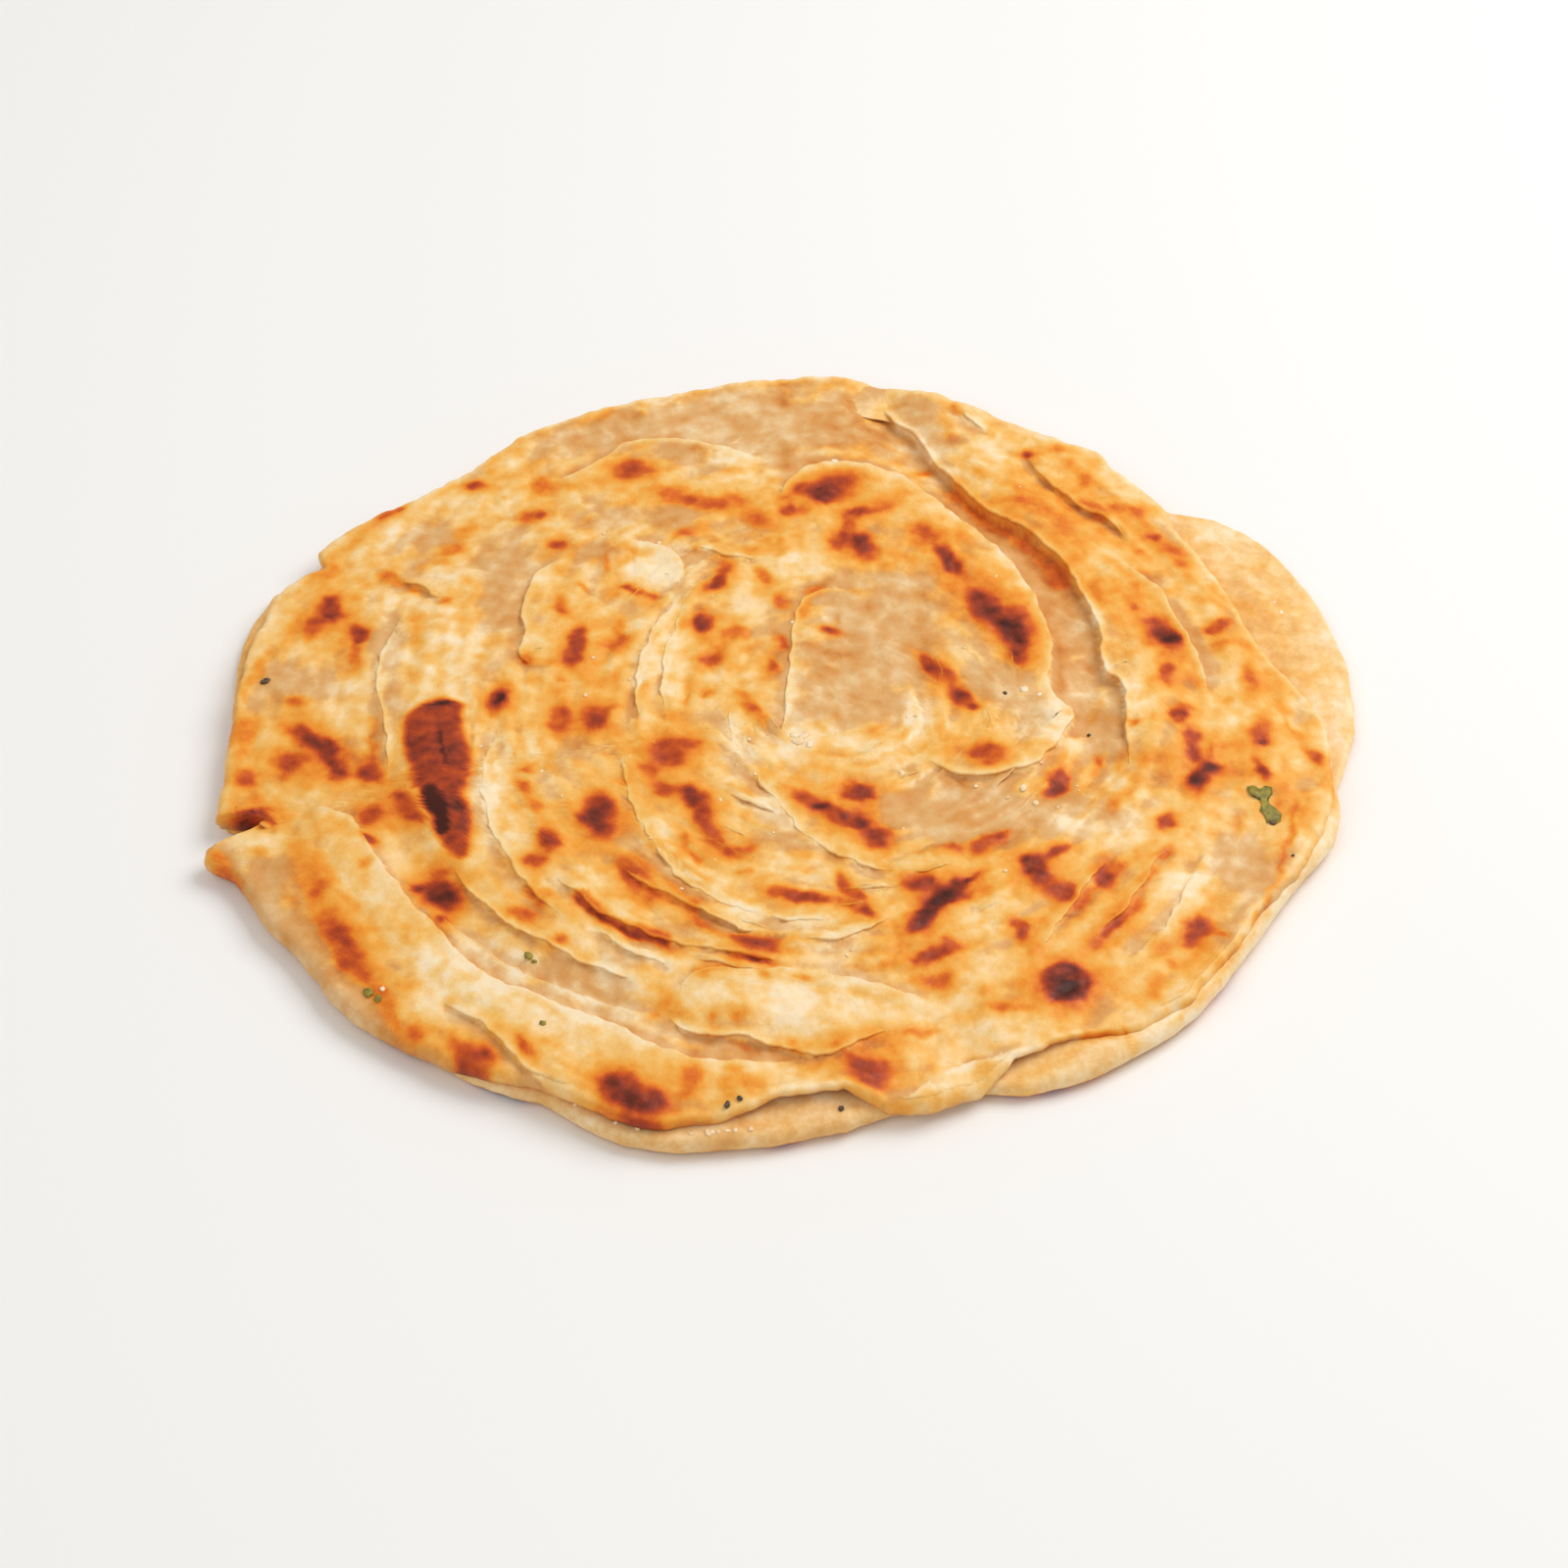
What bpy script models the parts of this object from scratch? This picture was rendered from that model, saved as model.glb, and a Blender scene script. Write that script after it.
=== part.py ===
"""A layered flatbread of the coiled kind, lachha paratha, as one closed solid.

A long pleated strip of dough is wound into a coil and rolled flat, so the bread is a low
uneven disc: a spiral of shallow ridges on top, an upper stack of leaves with its own rim,
and one wider leaf below it that shows as a step all round and as a lobe on the right.
The underside is flat in the middle, where the bread rests, and turns up towards the rim.

Lengths are in millimetres up to the mesh, which is in metres. +Z is up and +Y points away
from the eater. Angles are in degrees, anticlockwise from +X.
"""

import bisect
import math

import bmesh
import bpy

METRES = 0.001

# ---- driving dimensions, in millimetres ----
MIDDLE_HEIGHT = 8.9  # top of the leaves at the middle, before the ridges
SHOULDER_HEIGHT = 7.0  # top of the leaves just inside the upper rim
SHOULDER_START = 0.55  # share of the upper rim's radius where the top begins to fall
LEAF_TOP = 3.1  # top of the wide lower leaf where it comes out under the others
LEAF_LIP = 2.3  # top of the lower leaf just inside its own rim
LEAF_LIP_INSET = 0.9  # how far in from the rim that is
LEAF_LEAST_SHOWING = 1.1  # the lower leaf shows by at least this much
LEAF_MID = 1.3  # height of the widest line, half-way up the lower leaf's edge
TURN_UP_INSET = 2.2  # the underside starts to turn up this far in from the rim
TURN_UP_HEIGHT = 0.45  # and has this height there
FLAT_SHARE = 0.88  # share of the lower rim's radius inside which the underside is flat

# The coil: its middle, the distance between turns and the height of a ridge.
COIL_MIDDLE = (9.0, 4.0)
COIL_PITCH = 14.0
RIDGE_HEIGHT = 0.6
RIDGE_START = 8.0  # the ridges grow from the coil's middle over this radius

# Rim of the wide lower leaf: (angle, radius). It is widest at the lobe, from -5 to 37.
LOWER_RIM = (
    (0, 100), (8, 101.5), (15, 101.5), (22, 101), (28, 100), (33, 98), (37, 94.5),
    (40, 90), (46, 89), (51, 90.5), (55, 88.8), (60, 88.4), (67, 89.4), (74, 89.8),
    (79, 92.2), (84, 91.4), (88, 91.8), (95, 89.6), (108, 88.8), (122, 89.8), (130, 89.3),
    (136, 88.6), (140, 91), (147, 94.2), (151, 97.4), (155, 96.6), (160, 101),
    (168, 101.5), (174, 100), (180, 99.5), (188, 100.2), (192, 102.2), (195, 104),
    (199, 102), (205, 100), (212, 98.2), (220, 98.4), (228, 96.5), (236, 95.5),
    (243, 93.2), (249, 95), (256, 96), (263, 94), (270, 91), (278, 88.7), (285, 89),
    (291, 88), (299, 90.7), (308, 93.4), (316, 94.8), (323, 94), (330, 94),
    (337, 94.8), (342, 97.5), (347, 98.5), (352, 96.7), (357, 98.7),
)

# Rim of the upper leaves: (angle, radius). It stays inside the lower rim.
UPPER_RIM = (
    (0, 94), (4, 91), (11, 86), (20, 85), (28, 85.5), (34, 85), (39, 87.5), (46, 88),
    (51, 89.5), (60, 87.3), (74, 88.8), (84, 90.3), (95, 88.5), (108, 87.7), (122, 88.7),
    (136, 87.4), (147, 93), (151, 95.6), (157, 95), (163, 97), (170, 98), (180, 98),
    (190, 99), (194, 102.6), (199, 100), (205, 96), (212, 94), (220, 93), (228, 91.5),
    (236, 91), (243, 90), (250, 91.5), (257, 91.5), (263, 88), (270, 84.5), (278, 83),
    (285, 86), (293, 85), (300, 85), (308, 87), (316, 90), (323, 89.5), (332, 89.5),
    (340, 93), (347, 96), (352, 95), (357, 95),
)

# A groove or a ridge along a path: (half-width, height, points from end to end).
FOLDS = (
    # the open groove between the inner flap and the large fold on the far right
    (5.5, -2.3, ((16, 84), (27, 66), (38, 49), (48, 35), (53, 18), (54, 0), (52, -14))),
    # the large fold beside it, and the roll of dough outside that
    (6.0, 1.3, ((24, 84), (37, 64), (50, 48), (60, 32), (63, 14), (64, -4))),
    (4.0, 0.8, ((48, 70), (62, 54), (71, 38), (77, 22), (82, 6), (84, -14))),
    # the sunk band inside the broad outer fold, front left, and that fold itself
    (4.5, -1.3, ((-66, -32), (-55, -50), (-40, -60), (-25, -65), (-10, -69), (6, -68))),
    (7.0, 0.9, ((-84, -30), (-70, -52), (-52, -68), (-30, -77), (-6, -76), (18, -73))),
    # the small sunk field below the inner flap
    (7.0, -1.0, ((22, -18), (34, -17), (44, -13))),
)

# Blown-up blisters: (x, y, half-width, half-length, tilt from +Y in degrees, height).
BLISTERS = (
    (-60, -10, 6.0, 17.0, 12, 1.7),
    (-31, -75, 7.0, 6.0, 60, 0.8),
    (44, -54, 5.0, 5.0, 0, 0.6),
)

# ---- mesh density ----
ANGLE_STEPS = 92
TOP_RINGS = 31
LOBE_RINGS = 3
UNDER_RINGS = 3


def around(knots, angle):
    """The radius at an angle, on a smooth closed curve through the (angle, radius) knots."""
    angle %= 360.0
    at = bisect.bisect_right([a for a, _ in knots], angle) - 1
    a0, r0 = knots[at - 1]
    a1, r1 = knots[at]
    a2, r2 = knots[(at + 1) % len(knots)]
    a3, r3 = knots[(at + 2) % len(knots)]
    a0 = a0 - 360.0 if a0 > a1 else a0
    a2 = a2 + 360.0 if a2 < a1 else a2
    a3 = a3 + 360.0 if a3 < a1 else a3
    span = a2 - a1
    t = (angle - a1) / span
    slope1 = (r2 - r0) / (a2 - a0) * span
    slope2 = (r3 - r1) / (a3 - a1) * span
    return (
        r1 * (2 * t**3 - 3 * t**2 + 1)
        + slope1 * (t**3 - 2 * t**2 + t)
        + r2 * (3 * t**2 - 2 * t**3)
        + slope2 * (t**3 - t**2)
    )


def ease(value):
    """0 below 0, 1 above 1, and smooth between."""
    t = min(max(value, 0.0), 1.0)
    return t * t * (3 - 2 * t)


def distance_to_path(x, y, points):
    """How far (x, y) is from the open line through the points."""
    nearest = math.inf
    for (ax, ay), (bx, by) in zip(points, points[1:]):
        dx, dy = bx - ax, by - ay
        along = ((x - ax) * dx + (y - ay) * dy) / (dx * dx + dy * dy)
        along = min(max(along, 0.0), 1.0)
        nearest = min(nearest, math.hypot(x - ax - along * dx, y - ay - along * dy))
    return nearest


def coil_ridge(x, y):
    """Height that the coil's spiral ridges add at (x, y)."""
    dx, dy = x - COIL_MIDDLE[0], y - COIL_MIDDLE[1]
    radius = math.hypot(dx, dy)
    turns = radius / COIL_PITCH - math.atan2(dy, dx) / math.tau
    return RIDGE_HEIGHT * ease(radius / RIDGE_START) * math.cos(math.tau * turns)


def fold_height(x, y):
    """Height that the folds and grooves add at (x, y), negative in a groove."""
    return sum(
        height * math.exp(-((distance_to_path(x, y, points) / half_width) ** 2))
        for half_width, height, points in FOLDS
    )


def blister_height(x, y):
    """Height that the blisters add at (x, y)."""
    total = 0.0
    for bx, by, half_width, half_length, tilt, height in BLISTERS:
        turn = math.radians(tilt)
        across = (x - bx) * math.cos(turn) + (y - by) * math.sin(turn)
        along = (y - by) * math.cos(turn) - (x - bx) * math.sin(turn)
        total += height * math.exp(-((across / half_width) ** 2) - (along / half_length) ** 2)
    return total


def top_height(x, y, share):
    """Height of the upper leaves at (x, y), where share is the part of the rim's radius."""
    fall = ease((share - SHOULDER_START) / (1 - SHOULDER_START))
    plain = MIDDLE_HEIGHT + (SHOULDER_HEIGHT - MIDDLE_HEIGHT) * fall
    return plain + coil_ridge(x, y) + fold_height(x, y) + blister_height(x, y)


def profile(angle):
    """Points (x, y, z) from near the middle of the top, over both rims, to the flat below."""
    cos, sin = math.cos(math.radians(angle)), math.sin(math.radians(angle))
    lower = around(LOWER_RIM, angle)
    upper = min(around(UPPER_RIM, angle), lower - LEAF_LEAST_SHOWING)
    points = []

    def add(radius, height):
        points.append((radius * cos, radius * sin, height))

    for ring in range(1, TOP_RINGS + 1):
        share = ring / (TOP_RINGS + 0.6)
        radius = share * upper
        add(radius, top_height(radius * cos, radius * sin, share))
    rim_top = top_height(upper * cos, upper * sin, 1.0)
    add(upper, 0.5 * (rim_top + LEAF_TOP))
    add(upper - 0.4, LEAF_TOP)
    for ring in range(1, LOBE_RINGS + 1):
        share = ring / LOBE_RINGS
        radius = upper + share * (lower - LEAF_LIP_INSET * share - upper)
        add(radius, LEAF_TOP + share * (LEAF_LIP - LEAF_TOP))
    add(lower, LEAF_MID)
    add(lower - TURN_UP_INSET, TURN_UP_HEIGHT)
    for ring in range(UNDER_RINGS):
        add(lower * FLAT_SHARE * (1 - ring / UNDER_RINGS), 0.0)
    return points


def paratha_mesh():
    """The whole bread as one closed mesh, centred on its own box, in metres."""
    angles = [360.0 * step / ANGLE_STEPS for step in range(ANGLE_STEPS)]
    profiles = [profile(angle) for angle in angles]
    every = [point for points in profiles for point in points]
    middle_x = 0.5 * (min(p[0] for p in every) + max(p[0] for p in every))
    middle_y = 0.5 * (min(p[1] for p in every) + max(p[1] for p in every))

    bread = bmesh.new()

    def vertex(x, y, z):
        return bread.verts.new(((x - middle_x) * METRES, (y - middle_y) * METRES, z * METRES))

    columns = [[vertex(*point) for point in points] for points in profiles]
    summit = vertex(0.0, 0.0, top_height(0.0, 0.0, 0.0))
    for here, there in zip(columns, columns[1:] + columns[:1]):
        bread.faces.new((summit, here[0], there[0]))
        for inner, outer in zip(range(len(here)), range(1, len(here))):
            bread.faces.new((here[inner], here[outer], there[outer], there[inner]))
    bread.faces.new([column[-1] for column in reversed(columns)])
    bmesh.ops.recalc_face_normals(bread, faces=bread.faces)
    mesh = bpy.data.meshes.new("paratha")
    bread.to_mesh(mesh)
    bread.free()
    mesh.shade_smooth()
    return mesh


def toasted_dough():
    """Golden toasted dough with a slight sheen of fat."""
    material = bpy.data.materials.new("toasted_dough")
    material.use_nodes = True
    shader = material.node_tree.nodes["Principled BSDF"]
    shader.inputs["Base Color"].default_value = (0.80, 0.42, 0.14, 1.0)
    shader.inputs["Roughness"].default_value = 0.5
    shader.inputs["Metallic"].default_value = 0.0
    return material


def main():
    for leftover in list(bpy.data.objects):
        bpy.data.objects.remove(leftover)
    paratha = bpy.data.objects.new("paratha", paratha_mesh())
    paratha.data.materials.append(toasted_dough())
    bpy.context.scene.collection.objects.link(paratha)


main()
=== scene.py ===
"""The looks of a layered paratha: its leaves, toasted spots, herbs and crumbs, on a pale floor.

The bread is built in millimetres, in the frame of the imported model, and its meshes are
scaled to metres. x runs to the right, y away from the eater and z up.
"""

import math

import bmesh
import bpy
import numpy as np
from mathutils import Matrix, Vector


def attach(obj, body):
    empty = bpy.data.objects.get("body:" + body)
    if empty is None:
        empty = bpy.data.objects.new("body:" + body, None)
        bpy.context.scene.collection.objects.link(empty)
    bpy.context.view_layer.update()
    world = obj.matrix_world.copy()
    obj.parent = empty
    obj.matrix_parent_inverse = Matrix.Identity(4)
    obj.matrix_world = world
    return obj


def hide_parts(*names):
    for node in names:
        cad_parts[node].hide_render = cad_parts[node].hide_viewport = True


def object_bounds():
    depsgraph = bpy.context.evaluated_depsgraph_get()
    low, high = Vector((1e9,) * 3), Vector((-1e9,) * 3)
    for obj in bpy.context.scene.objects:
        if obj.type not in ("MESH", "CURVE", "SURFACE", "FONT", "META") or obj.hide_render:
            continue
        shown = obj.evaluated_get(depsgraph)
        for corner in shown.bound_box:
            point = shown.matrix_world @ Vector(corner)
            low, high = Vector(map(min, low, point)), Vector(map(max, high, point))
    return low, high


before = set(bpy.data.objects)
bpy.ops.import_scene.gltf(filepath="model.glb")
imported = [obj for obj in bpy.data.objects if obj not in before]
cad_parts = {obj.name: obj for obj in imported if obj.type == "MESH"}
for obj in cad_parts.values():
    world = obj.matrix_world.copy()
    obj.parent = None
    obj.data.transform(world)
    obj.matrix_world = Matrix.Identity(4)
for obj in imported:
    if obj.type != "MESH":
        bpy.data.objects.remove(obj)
CAD_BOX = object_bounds()

METRES = 0.001
TOP_LIMIT = CAD_BOX[1][2] / METRES  # no leaf stands higher than the solid does

# ---- the bread's own shape, in millimetres, close to the solid's ----
MIDDLE_HEIGHT = 8.75
SHOULDER_HEIGHT = 6.8
SHOULDER_START = 0.55
COIL_MIDDLE = (8.0, 5.0)
COIL_PITCH = 4.8

# ---- how cooked the dough is ----
BASE_COOK = 0.21
LOWER_BASE_COOK = 0.24
TOAST_SPREAD = 1.12
TOAST_SHARE = 0.93
HALO_SHARE = 0.44
HALO_SPREAD = 1.9

# ---- mesh density, in rings and in steps round the rim ----
TOP_RINGS = 140
RIM_RINGS = 11
TUCK_RINGS = 3
RIM_STEPS = 900
LOWER_UNDER_RINGS = 88
LOWER_BEND_RINGS = 10
LOWER_TOP_RINGS = 30

# How far the upper leaves hang down over the lower one: (angle in degrees, share).
DRAPE = (
    (-180, 0.5), (-166, 0.8), (-160, 1), (-132, 1), (-120, 0.5), (-112, 0.35), (-98, 0.3), (-92, 0.05),
    (-84, 0.05), (-79, 0.8), (-69, 0.9), (-64, 0), (-57, 0), (-50, 0.4), (-20, 0.45), (-12, 0.1), (-6, 0),
    (134, 0), (144, 0.3), (152, 0.5), (160, 0.3), (168, 0.1), (176, 0.1), (180, 0.5),
)

# The torn notch in the left rim.
NOTCH_ANGLE = -166.3
NOTCH_HALF_ANGLE = 1.7
NOTCH_DEPTH = 9.5
TIP_ANGLE = -163.2
TIP_HALF_ANGLE = 3.0
TIP_LENGTH = 2.4

# How thick the lower leaf is at its rim: (angle in degrees, millimetres).
LOWER_THICKNESS = (
    (-180, 2.2), (-125, 2.2), (-112, 3.6), (-80, 3.8), (-66, 3.0), (-56, 4.4), (-14, 4.6), (-4, 2.4),
    (180, 2.2),
)

# Where the middle leaves stay out of sight: (angle in degrees, share).
TUCKED = (
    (-180, 0.5), (-166, 1), (-78, 1), (-70, 0.4), (-64, 1), (-12, 1), (-2, 0.3), (20, 0), (150, 0),
    (180, 0.5),
)

# ---------------------------------------------------------------------------
# Where things are. Every list is in millimetres, angles are in degrees from +X. Most places were read off
# gridded views of the photo. A comment says so where a scratch script made numbers.
# ---------------------------------------------------------------------------

# Free edges of leaves: (lift, reach, toasted, points). The leaf lies to the left of its edge.
LEAF_EDGES = (
    # the large fold on the far right, its inner and its outer edge, and the roll beyond
    (1.4, 6, 0.1, ((15, 86), (17, 82), (20, 77), (23, 73.5), (26, 67), (30, 61), (34, 55), (38, 50.5),
                    (42, 47.5), (45, 44), (48, 40), (50.5, 35), (53, 28), (54.5, 22), (54.8, 16),
                    (55.5, 11), (57.5, 9), (58.5, 5), (58.2, 0), (58.5, -6), (58.4, -13))),
    (0.9, 5, 0.0, ((73.5, 4), (73, 10), (72, 16), (70.5, 21), (68.5, 26), (66.5, 31), (64, 34.5),
                   (61, 38), (59, 41))),
    (1.2, 7, 0.5, ((43.7, 68.5), (44.5, 65), (46, 61.5), (48.5, 58.5), (51, 55.5), (54, 52.5),
                   (57, 50.5), (59, 48.5), (60.5, 46), (61.5, 43))),
    (0.5, 4, 0.1, ((30.5, 81), (33, 78), (35, 75.5), (37.5, 73))),
    # the raised inner flap, anticlockwise from its front corner to its back end
    (1.0, 8, 0.0, ((18, -7), (22, -10), (25, -12), (29, -14), (33, -14.7), (38, -13.5), (42, -12.3),
                   (45, -8.5), (47.5, -4), (49.6, 0), (49.2, 2.5), (46.5, 4.5), (45.6, 8), (46.3, 15),
                   (46, 21), (45, 26), (43, 32), (41, 37), (38, 42), (35, 46), (31, 50), (27, 54.5),
                   (23, 58.5), (20, 61.5), (16, 63.3), (11, 64.6), (6, 64.6), (2, 62.8), (-0.5, 59.5),
                   (-2.3, 55.5), (-3.5, 51))),
    # the broad outer fold, from the front to the left rim, and the crease across it
    (1.0, 9, 0.0, ((2, -75), (-5, -76.3), (-12, -76.3), (-19, -74.8), (-25, -71.8), (-30, -68.3),
                   (-36, -65.3), (-42, -62.3), (-48, -59.3), (-53, -55.8), (-56.5, -51.8),
                   (-60, -47.5), (-63.5, -43), (-67, -37.5), (-70, -33), (-73, -27.5), (-76, -23),
                   (-81, -20), (-88, -18))),
    (0.7, 6, 0.1, ((-59, -62.5), (-55, -65.5), (-51, -68.5), (-48, -72), (-45, -76), (-41.5, -79.5),
                   (-37.5, -83), (-34, -87))),
    # the torn end at the left rim
    (0.9, 5, 1.0, ((-99, -22), (-96, -22.8), (-93, -22.2), (-90.5, -23.5), (-88, -25.5))),
    # the crumbly pale leaf at the front
    (0.7, 5, 0.0, ((-21, -66), (-18, -69.3), (-13, -70.8), (-7, -71.5), (-2, -73), (3, -75),
                   (7, -74.5), (11, -72.5), (16, -70), (20, -69))),
    (0.6, 4, 0.2, ((28, -66), (20, -62.5), (12, -60), (5, -58.5), (-2, -57.8), (-8, -58.3),
                   (-14, -58), (-18, -60.5), (-21, -65))),
    # turns of the coil in the front half, from the middle outwards
    (0.2, 4, 0.0, ((-9, 6), (-11, 0), (-10.5, -6), (-8, -12), (-5, -17), (-2, -22), (2, -28),
                   (8, -33), (15, -36), (22, -34.5))),
    (0.3, 4, 0.0, ((-29, -4), (-29.5, -12), (-28, -20), (-25.5, -27), (-22, -33.5), (-18, -39),
                   (-12, -43.5), (-6, -46), (0, -47.5), (6, -47.5), (12, -45.5))),
    (0.7, 4, 0.2, ((0, -50.5), (5, -51.8), (10, -51), (15, -48.5), (17.5, -45))),
    (0.7, 4, 0.4, ((-31, -32), (-28, -36.5), (-24, -40), (-20, -42.5), (-16.5, -45), (-12, -47.5),
                   (-8, -49.5), (-3, -50.5), (2, -50))),
    (0.8, 4, 0.5, ((-42, -36), (-37, -41), (-33, -45), (-28, -48.5), (-23, -51), (-17, -53),
                   (-10, -54.5), (-4, -56), (2, -57))),
    (0.35, 3, 0.0, ((-20, -67), (-28, -64.3), (-36, -61), (-44, -57), (-51, -52), (-57, -46.5), (-62, -40))),
    (0.4, 3, 0.0, ((-58, -34), (-54.5, -40), (-49, -46), (-43, -50.5), (-36, -55), (-29, -58.5), (-23, -61))),
    (0.6, 3, 0.0, ((-34, -48), (-30, -52), (-27, -54), (-23, -56), (-19, -57.5))),
    (0.35, 5, 0.0, ((-50, -2), (-52.5, -8), (-53.5, -15), (-53, -22), (-50.5, -29), (-47, -36),
                   (-42, -43), (-36, -49))),
    # turns of the coil on the left
    (0.5, 4, 0.0, ((-19, 32), (-21.5, 27), (-24.5, 21), (-26.5, 15), (-27.5, 8), (-27, 1), (-25.5, -5))),
    (0.4, 3, 0.0, ((-17.5, 30), (-20, 24), (-22, 17), (-23, 10), (-22.5, 3), (-21, -3))),
    (0.35, 4, 0.0, ((12, 30), (7, 31.5), (2.5, 29), (0.5, 23), (0, 16), (-0.5, 9), (-1, 2), (-2, -4),
                   (-2, -10))),
    (0.6, 6, 0.2, ((-39, 40), (-43.5, 37.5), (-46.3, 34.5), (-47.5, 30), (-48.3, 25), (-47.5, 20),
                   (-48.3, 15.5), (-46.5, 12.5), (-42, 12))),
    (0.8, 5, 0.7, ((-71.5, 35.8), (-70, 34.5), (-67, 33), (-64.5, 30.5), (-62.3, 28.3))),
    (0.7, 4, 0.0, ((-22, 42), (-17, 41.3), (-12, 39.8), (-8, 38.8), (-4, 39.5))),
    (0.6, 4, 0.1, ((-25, 31), (-20.5, 33), (-19.5, 37), (-22, 41), (-26, 43), (-30, 43.5))),
    (0.25, 4, 0.0, ((-69, 26), (-71.5, 20), (-73.5, 13), (-73, 6), (-71.5, 0), (-70.5, -8), (-70, -15))),
    # thin leaves at the back
    (0.5, 5, 0.0, ((-5, 66), (-12, 69.5), (-18, 71.3), (-24, 71.8), (-30, 71.3), (-35, 67),
                   (-40, 62.5), (-47, 61))),
    # leaves that run side by side at the front right
    (0.8, 5, 0.0, ((60.5, -71), (63, -66.5), (66, -62.5), (70, -58.5), (73.5, -54.5), (76, -50),
                   (78, -45.5), (80, -41), (82.5, -36))),
    (0.6, 5, 0.0, ((71, -29), (70, -32), (67.7, -36), (66, -40), (64.5, -43.5), (62.5, -47),
                   (60, -50.3), (58, -53), (55.5, -56))),
    (0.6, 4, 0.4, ((40.5, -56), (43, -50.5), (46, -45.5), (49, -41), (52, -36), (55, -31.5))),
    (0.6, 4, 0.3, ((49.5, -52), (52.5, -48), (56, -44), (58.5, -40), (60.5, -36), (63, -31.5), (66, -29))),
    (0.5, 5, 0.0, ((54, -69), (50, -70), (44, -71.8), (38, -73.5), (33, -75), (28, -76), (24, -78.3),
                   (21, -81), (18, -83.5), (13, -85))),
)

# Broad grooves and folds along a path: (half-width, height, points).
FOLDS = (
    (5.5, -2.2, ((16, 84), (22, 70), (31, 56), (41, 42), (48, 30), (50.5, 16), (52, 2), (53, -12))),
    (6.0, 1.0, ((24, 84), (37, 64), (50, 48), (60, 32), (64, 14), (65, -4))),
    (4.0, 0.7, ((48, 70), (62, 54), (71, 38), (77, 22), (82, 6), (84, -14))),
    (4.5, -1.4, ((-66, -30), (-55, -47), (-40, -59), (-25, -67), (-10, -73.5), (0, -74))),
    (7.0, 0.8, ((-84, -30), (-70, -52), (-52, -68), (-30, -79), (-6, -81), (18, -77))),
    (7.0, -1.0, ((22, -20), (34, -20), (44, -18))),
)

# Blown-up blisters: (x, y, half-length, half-width, tilt, height).
BLISTERS = (
    (-60.8, -13, 15, 5.6, 101, 1.7),
    (-27, -84, 6, 5, -30, 0.8),
    (45, -60, 5, 5, 0, 0.6),
    (-62, 18, 9, 8, 100, 0.8),
    (-3, -65, 12, 5, 0, 0.7),
    (12, -78, 5, 5, 0, 0.5),
)
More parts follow.
